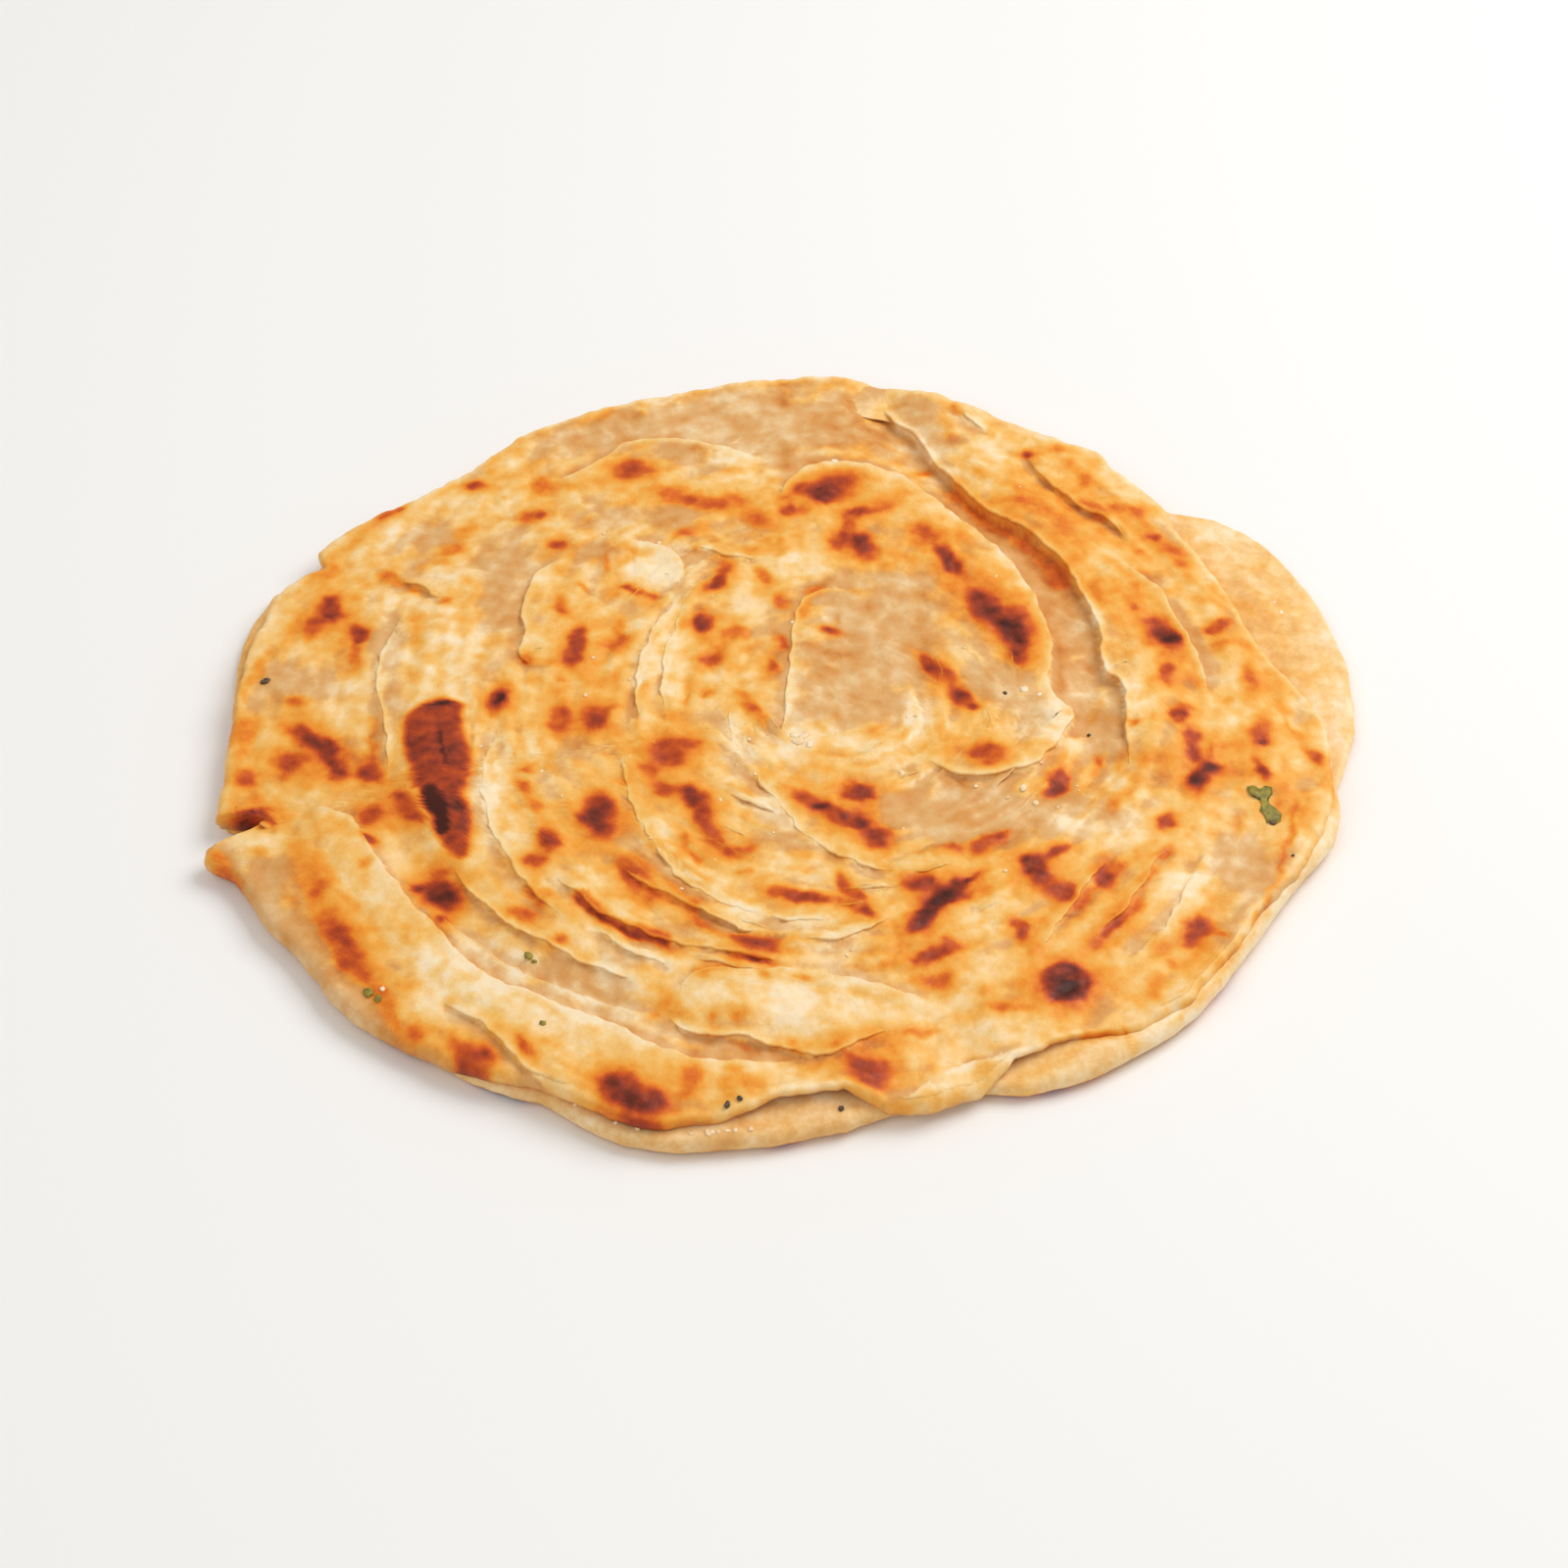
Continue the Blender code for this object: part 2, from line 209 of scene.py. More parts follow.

# Toasted spots: (x, y, half-length, half-width, tilt, strength). 0.3 is golden, 0.5 orange, 0.7 red-brown and
# 1 nearly black. One of them is painted shade.
TOAST = (
    # the middle of the coil
    (-34.5, -1, 3.6, 2.6, 80, .8), (-31.5, 1.5, 1.6, 1.2, 30, .55), (-31, -3.5, 2, 1.5, 0, .35),
    (-21.5, -8.5, 4, 4, 0, .82), (-17.5, -7, 1.5, 2.2, 60, .55), (-24.5, -13.5, 2, 2, 0, .66),
    (-22, -17.5, 2.5, 1.8, -30, .72), (-17, -19.5, 2.8, 2.2, -40, .92), (-14.8, -24.5, 3.4, 1.7, -70, .86),
    (-13, -29.5, 2.6, 1.8, -75, .74), (-9.5, -32, 2.6, 1.7, 10, .66), (-7.3, -31, 1.3, 1.3, 0, .55),
    (-33, -24, 5.2, 3, 95, 1), (-28.3, -15.5, 1.9, 1, 90, .45), (-15.7, 22.5, 2.6, 1.8, 110, .88),
    (-18.6, 21.8, 1.8, 1.6, 0, .42), (-10, 19.7, 2.4, 1.8, 30, .6), (-12.5, 16.5, 2, 1.2, 45, .5),
    (-14, 13.8, 2.3, 1.6, 15, .74), (-2, 17.8, 2.4, 1.3, 100, .64), (-3.1, 11.8, 2.5, 1.3, 95, .68),
    (-1.8, 28, 2.4, 1.6, 90, .62), (1.8, 25.5, 3.4, 1.4, 60, .5), (4.3, 30.5, 3, 1.5, 50, .55),
    (7.2, 20.6, 2.4, .9, -12, .72), (8, 23.5, 1.1, .6, 80, .4), (-31, 17.5, 2.6, 1.7, 95, .66),
    (-30.7, 22, 2.4, 1, 92, .5), (-28.5, 31, 2.6, .9, -25, .78), (-25.3, 29.3, 1.5, .8, -25, .62),
    (-32, 30, 2, 1.6, 20, .45), (-34.5, 8.5, 5, 1.6, -35, .36), (-18.3, 5.5, 3.6, .9, 85, .42),
    (-14.6, 5.6, 1.3, .8, 90, .55), (-6.8, 1.7, 2.2, 1.5, -60, .75), (-8.8, 4.6, 1.6, .9, -50, .45),
    (-5, -1.2, 2, 1, -65, .45), (-4, -13.5, 2.6, 2.2, 0, .3), (25, 12, 3, 1.5, -62, .88),
    (27.7, 9.7, 1.7, 1.2, -60, .72), (29.8, 4.8, 3.6, 1.9, -63, .8), (31.3, 1.8, 1.2, .9, 0, .7),
    (34, -9.7, 3.6, 2.9, -5, .72), (11.5, -18.3, 3, 2.4, -25, .94), (3, -20.5, 3.4, 1.7, -38, .8),
    (4.8, -22, 1.6, 1.4, 0, .9), (8, -24, 2.4, 1.8, -25, .72), (11, -25, 2.6, 2, -15, .93),
    (14.5, -28.5, 3, 2.7, -30, .9), (30, -15.7, 1.1, .7, -40, .42), (27.6, -31.5, 1.9, 1.1, 10, .64),
    (23.5, -31.6, 2.6, 1, 0, .4), (33, -30, 3.2, 1.9, 35, .76), (36, -28.3, 1.8, 1.2, 40, .66),
    (-18.3, -29.5, 2.2, .9, -80, .52), (-16.6, -33, 2, .9, -60, .52), (-8, -36.3, 1.3, .8, 0, .45),
    (1, -32.8, 2.2, 1.8, 0, .3), (15.5, -36, 1.6, 1.3, 0, .35), (7, -9, 2.6, 1.2, -5, .28),
    # (5, -3) is a painted shadow, not toast.
    (6.7, 10.7, 1.5, 1.3, 0, .3), (5, -3, 1.8, .8, -30, .25),
    # the back
    (-30, 63.5, 3.6, 3, 20, .8), (-26.5, 63, 1.5, 1.2, 0, .5), (-29, 79, 1.5, 1.3, 0, .35),
    (-22, 69, 4.6, 2, 0, .22), (-18, 69.3, 1.6, 1.2, 0, .36), (-21.5, 55.5, 4, 2.4, -20, .62),
    (-16.5, 54, 3.4, 2, -10, .64), (-11.5, 54, 3.2, 2.2, 10, .6), (-7, 50.5, 3.2, 2.2, -50, .5),
    (-4.8, 48.5, 2.2, 1.8, -30, .5), (-19.5, 45.5, 2, 1.6, 20, .55), (-16.5, 47, 2.4, 1.2, 40, .36),
    (-6.5, 41, 2.4, 1.4, 20, .42), (-2.2, 43.5, 1.1, 1.1, 0, .35), (-2, 40.3, 1.5, 1, 40, .35),
    (2.5, 57.5, 3.2, 2, 15, .72), (8.3, 58, 4, 3, 25, .88), (5.5, 56, 2.2, 1.8, 0, .9),
    (11, 60.5, 1.8, 1.4, 0, .7), (-1, 54.5, 1.4, 2, 80, .5), (-.8, 51.5, 2, 1.6, 0, .74),
    (2.5, 51.5, 1.8, 1.2, 0, .5), (12.5, 51, 2.8, 1.7, 10, .78), (17, 52.3, 3, 1.5, 20, .55),
    (19, 54.5, 1.8, 1.4, 40, .4), (10.3, 47.5, 3.2, 1.5, 75, .66), (9, 43.5, 2.4, 2.4, 0, .74),
    (12.8, 43, 2.6, 2.4, 80, .9), (12.5, 39.5, 2, 1.8, 0, .55), (15, 39.5, 1.2, 1.4, 90, .4),
    (24.5, 45, 3.6, 3, -40, .64), (28, 39.5, 3.4, 2, -55, .74), (29, 37.5, 2.2, 1.7, -60, .82),
    (31, 34, 2, 1.6, -50, .5), (34.5, 27, 4.5, 2.8, -60, .92), (38, 24, 4.5, 4, -40, .76),
    (40, 20, 4.4, 2.6, -75, .93), (40.3, 15, 3, 2, -90, .84), (43, 22, 2.6, 1.6, -60, .55),
    (-13, 33, 2.2, 1.6, 40, .85), (-11.8, 36.5, 2.4, 1.4, 70, .68), (-15, 31.5, 1.6, 1, 0, .7),
    (-5.2, 34, 2.4, 1.2, 100, .58), (-29, 41, 2, 1, -20, .4), (-33.6, 37.5, 2.6, .8, 90, .5),
    (-35, 79.8, 2.6, 1.2, 25, .4), (-1.5, 83, 2, 2, 0, .4), (31, 80, 1.8, .8, -45, .5),
    (30.5, 72.3, 1.8, 1.3, -10, .42), (11, 84.5, 1.5, .8, -30, .3), (24.5, 64.5, 1.4, 1, 0, .6),
    # the back left
    (-58.4, 60, 2.1, 1.4, 5, .8), (-73.5, 53.3, 2.8, 1.2, 35, .85), (-45.8, 59.5, 2.6, 2.4, 20, .55),
    (-41, 58.5, 3, 1, 0, .4), (-47.5, 50.8, 3.2, 1.8, 15, .55), (-45.5, 51.5, 1.4, 1.2, 0, .6),
    (-60, 47.5, 2.8, 2, 40, .45), (-62, 42.5, 1.7, 2.2, 100, .55), (-63, 39.5, 1.2, 1.5, 90, .42),
    (-42.5, 43, 2.2, 1.4, 0, .72), (-83, 28, 3.6, 2.2, 95, .92), (-85.5, 23.5, 2.6, 1.8, 60, .7),
    (-84, 37.8, 2.2, 2, 0, .4), (-72, 35.3, 3, 1.3, -40, .55), (-68, 33, 2.6, 1, -35, .5),
    (-62, 28.8, 1.2, .8, 40, .6), (-41.5, 26.5, 2.8, 1.5, 100, .62), (-37.3, 31.5, 1.6, .7, -60, .5),
    # the left
    (-77.2, 21, 2.4, 1.8, 95, .86), (-77.5, 16.3, 3, 1.3, 95, .62), (-77.7, 12.6, 1.2, .9, 0, .4),
    (-89, 23, 6, 1.5, 70, .34), (-94, 14, 6, 1.3, 66, .38), (-97.5, 6, 4, 1.2, 80, .42),
    (-96.5, -1, 3.6, 2.3, 95, .6), (-95.5, -6, 1.2, 1.2, 0, .4), (-87, 4.7, 1.7, 1.3, 0, .5),
    (-85.5, -2.5, 3.4, 2, -45, .78), (-82.5, -5, 2.6, 2, -30, .92), (-80, -8.5, 3.6, 2.2, -60, .86),
    (-78.5, -12.5, 2.2, 1.8, -60, .7), (-87.5, -8.5, 3, 2.2, 0, .74), (-87.5, -12, 1.6, 1.5, 90, .5),
    (-73, -5, 5, .7, 92, .5), (-73.2, -12.5, 2.2, 2.2, 60, .86), (-71, -14, 2, .8, -60, .5),
    (-94.7, -12.5, 2.4, 2, 70, .66), (-92.5, -17, 1.8, 1.8, 0, .5), (-93.5, -21.2, 3.4, 1.6, 10, .95),
    (-90, -22.5, 1.6, 1, -45, .8), (-83, -12, 7, 3, 0, .34), (-72.5, -22.3, 2.4, 2.2, 0, .78),
    (-72.3, -27.3, 1.4, 1, -40, .86), (-69.5, -24, 2.4, 1, -60, .5), (-75, -20.5, 1, 1, 0, .4),
    (-66.8, -20.5, 3.2, 2, -60, .82), (-64.3, -23.5, 1.6, 1.2, -40, .78), (-72.5, -32.7, 1.4, 1.3, 0, .55),
    (-51.3, 3.8, 3.6, 1.9, 80, .8), (-50.8, 3.2, 1, 1, 0, 1), (-40.3, -1, 3.4, 2.4, 85, .66),
    (-40.5, -5, 2, 1.5, 90, .38), (-47.3, 12.8, 1.4, 1, -40, .8), (-43.5, 12.5, 4, 1.2, -5, .42),
    (-38.8, 14, 2.4, 1.8, 90, .9), (-38, 18, 3.2, 1.7, 80, .86), (-40.5, 9, 1, 1.3, 90, .5),
    (-45.8, -12.8, 1.2, 1.1, 0, .62), (-46.3, -17, 2.2, 1, -55, .64), (-44.3, -21, 2, 1.1, -60, .58),
    (-41.3, -29.5, 2.8, 1.6, 100, .86), (-43.5, -34, 2, 1.4, 20, .82),
    # round the great blister
    (-66, -2, 3, 2, 60, .5), (-57, -30.5, 2.4, 1.4, 60, .6),
    # the front left
    (-60, -35.8, 2, 2, 0, .72), (-60, -39.3, 3.3, 2.5, -40, 1), (-57.5, -41, 3, 2.2, 80, .85),
    (-63.5, -37.5, 1.3, 1, 0, .8), (-58.7, -45.5, 1, 1.2, 80, .95), (-43.5, -42, 2.6, 1, -50, .62),
    (-45, -45.7, 2.6, 1.6, -10, .72), (-38.6, -51.3, 1.4, 1.1, 0, .66), (-41.5, -41.5, 1.2, .8, 0, .4),
    (-82, -36, 8, 3.4, -75, .45), (-80.5, -38.5, 2, 1.5, 80, .6), (-84.5, -41.5, 2.6, .9, -60, .4),
    (-78.5, -45, 4, 3, -60, .5), (-76, -48.5, 3.4, 2, -60, .78), (-74, -53, 3.6, 2.6, -45, .66),
    (-71, -57, 3, 1.6, -50, .6), (-68.5, -61, 3, 1.5, -60, .55), (-66.5, -65.5, 3, 1.4, -60, .5),
    (-62, -69, 2.4, 2, 0, .55), (-64, -69.5, 3, 1.8, -40, .42), (-52, -75.5, 3.6, 3.3, 0, .85),
    (-55.5, -72.5, 1.6, 1.4, 0, .5), (-43.5, -73.5, 3, 1.3, -60, .66), (-64.5, -50.5, 1.6, 1.2, 0, .3),
    (-96.5, -33, 6, 1.6, -57, .62),
    # the front
    (-27.5, -36.3, 3.4, 2, -60, .76), (-24.5, -40.3, 3, 2.4, -50, .66), (-20, -42.3, 2.4, 1.6, -20, .5),
    (-16.5, -44.8, 2.2, 1.8, -50, .6), (-15, -48.3, 2.4, .9, -35, .6), (-19.5, -52.8, 1.6, 1, 0, .42),
    (-8.5, -51.3, 1.8, 1.2, -20, .66), (-5.5, -52.6, 3.2, 1.7, -5, .82), (-6.5, -55.6, 3.8, 1, -14, .86),
    (-13.5, -58, 3, .9, 8, .62), (-15, -59.5, 1.2, .9, 0, .45), (-5, -59.3, 1.2, .8, 0, .5),
    (1.5, -59.3, 2, .6, 0, .45), (-20.5, -64, 2.4, 1, 50, .38), (-22.5, -66.3, 1, .8, 0, .5),
    (-13, -67, .9, .7, 0, .5), (-9, -68, 1.4, 1.2, 0, .5), (-9, -67, 3, 1.6, -20, .3),
    (-8, -72, 2.6, .8, -20, .45), (-2.5, -73, 1.2, .8, -30, .45), (.5, -73.3, 1.7, 1.1, -40, .52),
    (7.3, -73.5, 1, .7, 0, .6), (2, -42.3, 4, 1.6, -12, .85), (-2.5, -40.8, 1.6, 1.2, -20, .6),
    (6.5, -42.8, 2, .8, 0, .45), (8.3, -38.8, 2.6, 1.1, -80, .72), (10.5, -41.3, 2.6, 1.2, -55, .74),
    (12.3, -45.8, 2.6, 1.5, -45, .8), (9.3, -43.3, 1.6, 1.2, 0, .6), (22, -39.3, 3.2, 2.2, 0, .82),
    (27, -39.8, 3.4, 1.6, 20, .9), (30.5, -37.8, 2.2, .9, 30, .9), (26.5, -42.3, 3, 1.5, 20, 1.1),
    (23, -45.3, 3.4, 1.6, 50, 1.05), (20.8, -48.8, 2.4, 1.6, 40, .9), (33, -40.3, 1.4, 1.8, 90, .4),
    (23.5, -54.2, 3.6, 1.8, 15, .8), (26.5, -52.7, 2, 1.8, 60, .72), (22, -55.7, 1.5, 1, 0, .6),
    (24, -59.4, 3.2, 1.8, 0, .62), (14, -53.7, 2.4, 1, -5, .35), (15, -57, 5, .8, 0, .35),
    (21.5, -69.7, 2.8, .8, 8, .55), (34, -64.8, 2, 1.1, -5, .5), (12.5, -78.5, 3.2, 3.2, -45, .8),
    (10, -77, 2, 2, 0, .5), (14, -81, 2, 1.5, 0, .5), (12, -72.5, 7, 2.5, 25, .36),
    (4, -77, 2.5, 2, 0, .34), (-27.5, -83, 4.6, 3.6, -30, .95), (-25, -87, 3.6, 2.6, -30, .86),
    (-22.5, -85, 2, 2, 0, .8), (-26, -90, 4, 1.5, -10, .5), (-16.5, -80, 3, 1.9, 75, .6),
    (-17.5, -83, 1.6, 1.2, 0, .5), (-17, -88, 6, 2.5, 0, .42), (-6.5, -81.5, 2, 1.8, 0, .5),
    (-9, -79, 2, 1.4, -30, .4), (-11.5, -81, 1.2, 1, 0, .42), (14, -86.8, 2.8, 1.4, 20, .5),
    # the front right
    (41, -34.8, 2.6, 2.4, 60, .95), (45.5, -32, 2.6, 1.2, 30, .75), (42, -37.8, 2, 2, 0, .85),
    (45.5, -41, 3, 2.2, -20, .8), (53.2, -37.4, 2.6, 1.8, 80, .8), (54.5, -35, 2.4, 1.5, 40, .6),
    (49.5, -41.4, 3.6, 1.1, 55, .62), (47.5, -44.4, 1.6, .8, 60, .5), (57, -43, 3.4, 1.7, 60, .6),
    (53.5, -47.4, 3.2, 1.4, 50, .8), (51, -51, 1.6, 1.1, 50, .6), (60.5, -36.4, 3.2, 1, 62, .55),
    (63.5, -31.4, 2.6, 1.1, 35, .62), (37, -47.4, 1.5, 1.5, 0, .6), (38.6, -49.4, 2.2, 1.4, 100, .78),
    (41.5, -47, 3, 1.5, 0, .35), (45.5, -59.8, 4.8, 4.4, 0, .92), (45.8, -60.8, 2.6, 2, 0, .98),
    (37, -65, 4, 1, 5, .45), (68.7, -47.3, 2.4, 2, 60, .84), (67, -49.8, 1.8, 1.4, 0, .72),
    (72, -48.3, 2.4, .9, -35, .6), (62, -52, 4, 2, 45, .34), (63.3, -54.8, 1, 1, 0, .45),
    (60.3, -60, 2.8, 1.4, 80, .5), (49.5, -70.3, 2.4, .9, 25, .6), (52, -69.3, 1.8, .6, 0, .6),
    (46, -72.5, 3, .9, 30, .42), (42, -75, 3, .8, 40, .3), (55.7, -70, 2, .8, -55, .68),
    # the right
    (66.3, 20.5, 4.4, 2.6, -65, .92), (67.5, 19, 1.8, 1.6, 0, 1.05), (61.2, 27, 1.1, .9, 60, .55),
    (66.6, 10.8, 2.4, 1.5, 80, .76), (65.8, 8.2, 1, 1, 0, .6), (63, 6, 2.6, 1, 60, .3),
    (70, 8, 3, 2, 90, .3), (67.9, .2, 2, 1.6, 60, .86), (69, 2.3, 1, 1, 0, .5),
    (70, -5.5, 3.2, 1.5, 100, .84), (69.8, -9, 1.8, 1.3, 80, .8), (72.3, -11.5, 2, 1.5, 20, 1),
    (70.5, -14.5, 2.6, 1.8, 60, .96), (73, -8, 1.8, .8, 80, .5), (75.5, 22.5, 2, 1.6, 20, .78),
    (77.8, 24, 1.6, 1.2, 40, .7), (77.5, 18.3, 2.6, 1.1, 0, .45), (81.1, 10.8, 3.6, 1.2, 95, .58),
    (82, -3.5, 3.4, 1.9, 80, .68), (82.2, -5.2, 1, 1, 0, .85), (81.6, -12.5, 2.4, 1.1, -65, .86),
    (80.5, -9.5, 1, 1, 0, .5), (64, -9.5, 5, 1.6, 0, .34), (66, -15, 4, 2, 0, .34),
    (78, -12.5, 4, 2, 0, .34), (59.5, -2, 1.6, .8, -5, .58), (52.5, 1.2, 1.8, 1.3, 80, .4),
    (53.3, -9.2, 1.6, 1.1, 75, .64), (52.3, -12, 1, .9, 60, .42), (46.3, -14, 2.4, 2, 70, .84),
    (45.3, -17.2, 2.6, 1.4, 20, .86), (55, -21, 2.4, 1, 70, .38), (64.3, -24.3, 2, 1.6, 50, .86),
    (42, -27, 2.6, 1, 90, .3), (91.5, -8.5, 2.6, 1.5, -60, .7), (93.5, -14, 3.4, .9, -85, .55),
    (89, -4.5, 2.4, .8, -50, .4), (84.7, -18, 3.5, 1.5, 70, .4), (91, 19.3, .7, .7, 0, .3),
    (87, -1, 3, .5, 95, .4), (54.3, 60.5, 2.6, 1.6, 50, .52), (52.8, 63.5, 3, 1.2, -60, .42),
    (49.5, 69.5, 1.8, 1.2, 0, .45), (60, 53, 3, 1.4, 5, .56), (63.5, 52.5, 1.6, 1.6, 0, .6),
    (66.2, 45.5, 1.2, 1, 0, .8), (69, 42.5, 3.4, 2, -50, .6), (71.3, 39, 1.5, 1.4, 0, .55),
    (63.5, 41.5, 1, 1, 0, .5), (55.5, 52.5, 3.5, 1.2, -40, .72), (42.5, 54, 2.6, 2, 0, .42),
    (48, 50, 8, 3, -50, .38), (53, 32, 5, 1.4, -62, .5), (44, 67.5, 1.2, 1, 0, .85),
)

# Toasted patches with a sharp outline: (strength, softness of the outline, anticlockwise points).
# The second one is the great blister. Its corners were picked by eye as positions in the photo, and a
# scratch script turned them into these millimetres, which were copied in almost as printed.
OUTLINED_TOAST = (
    (0.93, 2.6, ((50.4, -59.6), (48.8, -56), (45.4, -55), (42, -56.4), (40.6, -59.8), (42.2, -63.4),
                 (45.6, -64.4), (49, -63))),
    (0.82, 2.6, ((-55, -32.6), (-54.6, -23.5), (-56, -19.4), (-55.2, -15), (-55.7, -9.3), (-57.1, -4.7),
                 (-57.6, 0.6), (-57.4, 2), (-59.4, 3.2), (-62, 3.7), (-65.2, 2.4), (-67.8, -1),
                 (-67.9, -4.7), (-67, -10.5), (-65.3, -16.2), (-63.2, -20.8), (-61.6, -26),
                 (-59.3, -30.3), (-56.6, -33.4))),
)

# Sharp spots on the burst blister. They are written like the toasted spots, and were placed with the
# help of positions that the same scratch script turned into millimetres.
SHARP_TOAST = (
    (-64, -6, 7, 2.6, 98, .87), (-61.4, -20.5, 5, 2, 112, 1.2), (-59.6, -25.4, 3, 1.3, 96, 1.15),
    # (-61.8, 2.3) is a thin dark line along the blister's crest: painted shade.
    (-57.2, -21.5, 3, .8, 100, 1.02), (-60.3, -9.5, 6.5, .45, 100, 1.0), (-61.8, 2.3, 3.6, .5, 6, 1.0),
    (-56.8, -27.5, 4, 1.4, 98, .84),
)

# Long toasted streaks, three of them painted shade: (half-width, strength, points).
STREAKS = (
    (1.4, .8, ((-36, -40), (-35, -43), (-31.5, -46.8), (-27, -49.6), (-23, -51.2), (-19, -52.5))),
    # This one is painted shade on the recessed side of a ridge, not toast.
    (1.0, .36, ((47.5, 22), (47.8, 14), (47.2, 6))),
    (0.9, .5, ((56, -77), (52, -77.8), (47, -80), (42, -83), (37, -86))),
    # This one is painted shade in the groove under the inner edge of the large fold on the far right.
    (2.6, .5, ((27.5, 62), (31.5, 57), (36, 51.5), (40.5, 47.5), (44.5, 42.5), (48, 37), (50.5, 30))),
    # This one is painted shade in a crease at the front right.
    (0.7, .45, ((88, -14), (85, -28), (80, -42), (73, -54), (66, -63), (60, -70))),
)

# Toasted spots on the lower leaf, where it looks out at the front.
LOWER_TOAST = ((14, -86.5, 3, 1.5, 20, .5), (-36, -88, 4, 1, -30, .3), (3, -88, 5, 1, 5, .25))

# Pale, hardly toasted dough: (x, y, half-length, half-width, tilt, strength). The last entries here,
# in GOLD and in TAN even out the colour. They were guided by positions that a scratch script turned
# from places in the photo into millimetres.
PALE = (
    (-62, 20, 9, 8, 100, .5), (-25, 37, 5, 3, -10, .95), (-26, 42, 3, 1, -20, .9), (-8, 28, 4, 2, 90, .8),
    (-8, 35, 3.5, 1.2, 90, .7), (19, 11, 2.6, 1.2, 95, .7), (23, -2, 2.6, 1.6, 100, .6),
    (1.7, -6, 2.8, 3.2, 0, 1.1), (12, -7.5, 5, 1.6, -10, .6), (9, -12, 3, 1.2, -20, .5),
    (19, -13.5, 1, 1, 0, .8), (41, 6, 3, 1.5, 20, .6), (47.5, -4, 5, 1.2, 70, .6), (8, 64.5, 1, 1, 0, .9),
    (22, 60.5, 1.5, 1.5, 0, .7), (0, -65, 9, 4.5, 0, .95), (-14, -61, 4, 2.4, 20, .8),
    (14, -66, 5, 3, 0, .7), (24, -64, 3, 1, -20, .8), (25, -78, 5, 1.5, 35, .7), (-33, -70, 7, 5, 60, .7),
    (-60, -63, 4, 3, -50, .7), (68, -39, 5, 3, 80, .5), (62, -66, 5, 3, 60, .5), (35, -79, 5, 2, 30, .5),
    (41, -78.5, 1.5, 1, 90, .8), (-88, 19, 3, 3, 0, .5), (-78, 8, 3, 3, 0, .35),
    (87.5, 32, 3, 1, 110, .6), (95, 5, 14, 4, 95, .3), (78, 8, 3, 1.6, 90, .8), (-74, -16, 5, 2, 0, .5),
    (-10, 9.5, 4, 1.4, 20, .5), (-52, -24, 8, 2, 80, .4), (-45, 35, 2, 4, 90, .5),
    (-92, -25.5, 5, 2.2, -8, 1.4), (-89, -28, 2.6, 1.6, -40, 1.2), (-96, 30, 6, 3, 70, .8),
    (62, 60, 4, 3, 0, .5), (36, 70, 6, 3, -60, .45), (32, 62, 6, 1.5, -60, .7), (8, 38, 6, 1.6, 30, .5),
    (-20, 12, 12, 3, 92, .45), (60, 33, 4, 1, -50, .5), (34, -70, 8, 3, 10, .4),
    (12, -49, 5, 1.6, 30, .6), (-56, -57, 14, 4, -42, .6), (-49, -50, 14, 3, -38, .5),
    (-67, -38, 9, 3.5, -52, .6), (-84, -52, 9, 3, -54, .4), (-20, -80, 22, 4, 4, .35),
    (38, -70, 14, 4, 12, .4), (-5, 58, 22, 6, 0, .25), (-67, -33, 5, 2.4, -60, .9),
    (-62.5, -33, 2.4, 2, 0, .8), (-81, -17, 4, 2, 20, .6), (-92, -3, 4, 2, 80, .5),
    (-43, -22, 9, 4.5, 70, .35), (-24, -74, 14, 2.4, 6, .4), (38, -72.5, 7, 2.6, 12, .5),
    (33, -57, 5, 2.4, 10, .5), (54, -57, 5, 1.4, 55, .6), (57, -62, 6, 1.5, 50, .6),
    (40, -68, 6, 1.2, 8, .6), (28, -48, 4, 2, 40, .4), (36, -44, 3, 2, 60, .5), (49, -47, 4, 1, 60, .6),
    (61, -41, 5, 1, 60, .6), (-88, -16, 4, 1.4, 0, .5), (-84, 1, 4, 1.4, 10, .5),
    (-91, -9, 2, 1.4, 0, .6), (-78, 0, 3, 2, 0, .5), (-67, 55, 6, 2, 25, .4), (60, -27, 4, 2, 20, .5),
    (-3, 3, 3, 3, 0, .4), (-5, -22, 2, 6, 60, .4),
)

# Golden dough, a little more cooked than the rest, and in one place painted shade: (x, y, half-length,
# half-width, tilt, strength).
GOLD = (
    (-72, -48, 22, 5, -54, .5), (-15, -82, 30, 6, 4, .3), (14, -76, 20, 6, 10, .7),
    (40, 60, 22, 8, -52, .5), (55, 30, 14, 7, -70, .5), (-62, 16, 9, 9, 0, .5), (-83, 20, 8, 6, 60, .4),
    (78, 10, 16, 5, 95, .5), (88, -20, 14, 4, 80, .6), (27, 22, 10, 4, 80, .5), (30, 45, 14, 5, -55, .6),
    (40, -50, 20, 12, 30, .2), (62, -52, 12, 6, 60, .2), (78, 46, 5, 2, -40, .7),
    (-30, 10, 10, 6, -30, .4), (-35, 60, 14, 5, 10, .6), (-10, 45, 12, 5, 0, .4),
    (-80, 40, 10, 3, 10, .6), (-25, -30, 14, 8, -60, .5), (65, -14, 8, 4, 0, .5),
    # (36, 50) darkens the groove beside the large fold on the far right: painted shade.
    (60, 28, 18, 4, -62, 1.4), (47, 45, 15, 5, -48, 1.3), (36, 50, 16, 3.5, -52, 1.6),
    (-30, 12, 9, 8, 0, .3), (-86, 11, 6, 6, 0, .9), (27, 0, 8, 8, 0, .4), (-42, -52, 10, 4, -30, .4),
    (50, 54, 12, 4, -50, 1.3), (67, 36, 9, 4, -62, 1.3), (86, 5, 12, 4, 95, 1.3), (88, -30, 4, 10, 0, .4),
    (-88, 4, 10, 5, 100, .6), (-80, -16, 8, 4, 0, .6),
)
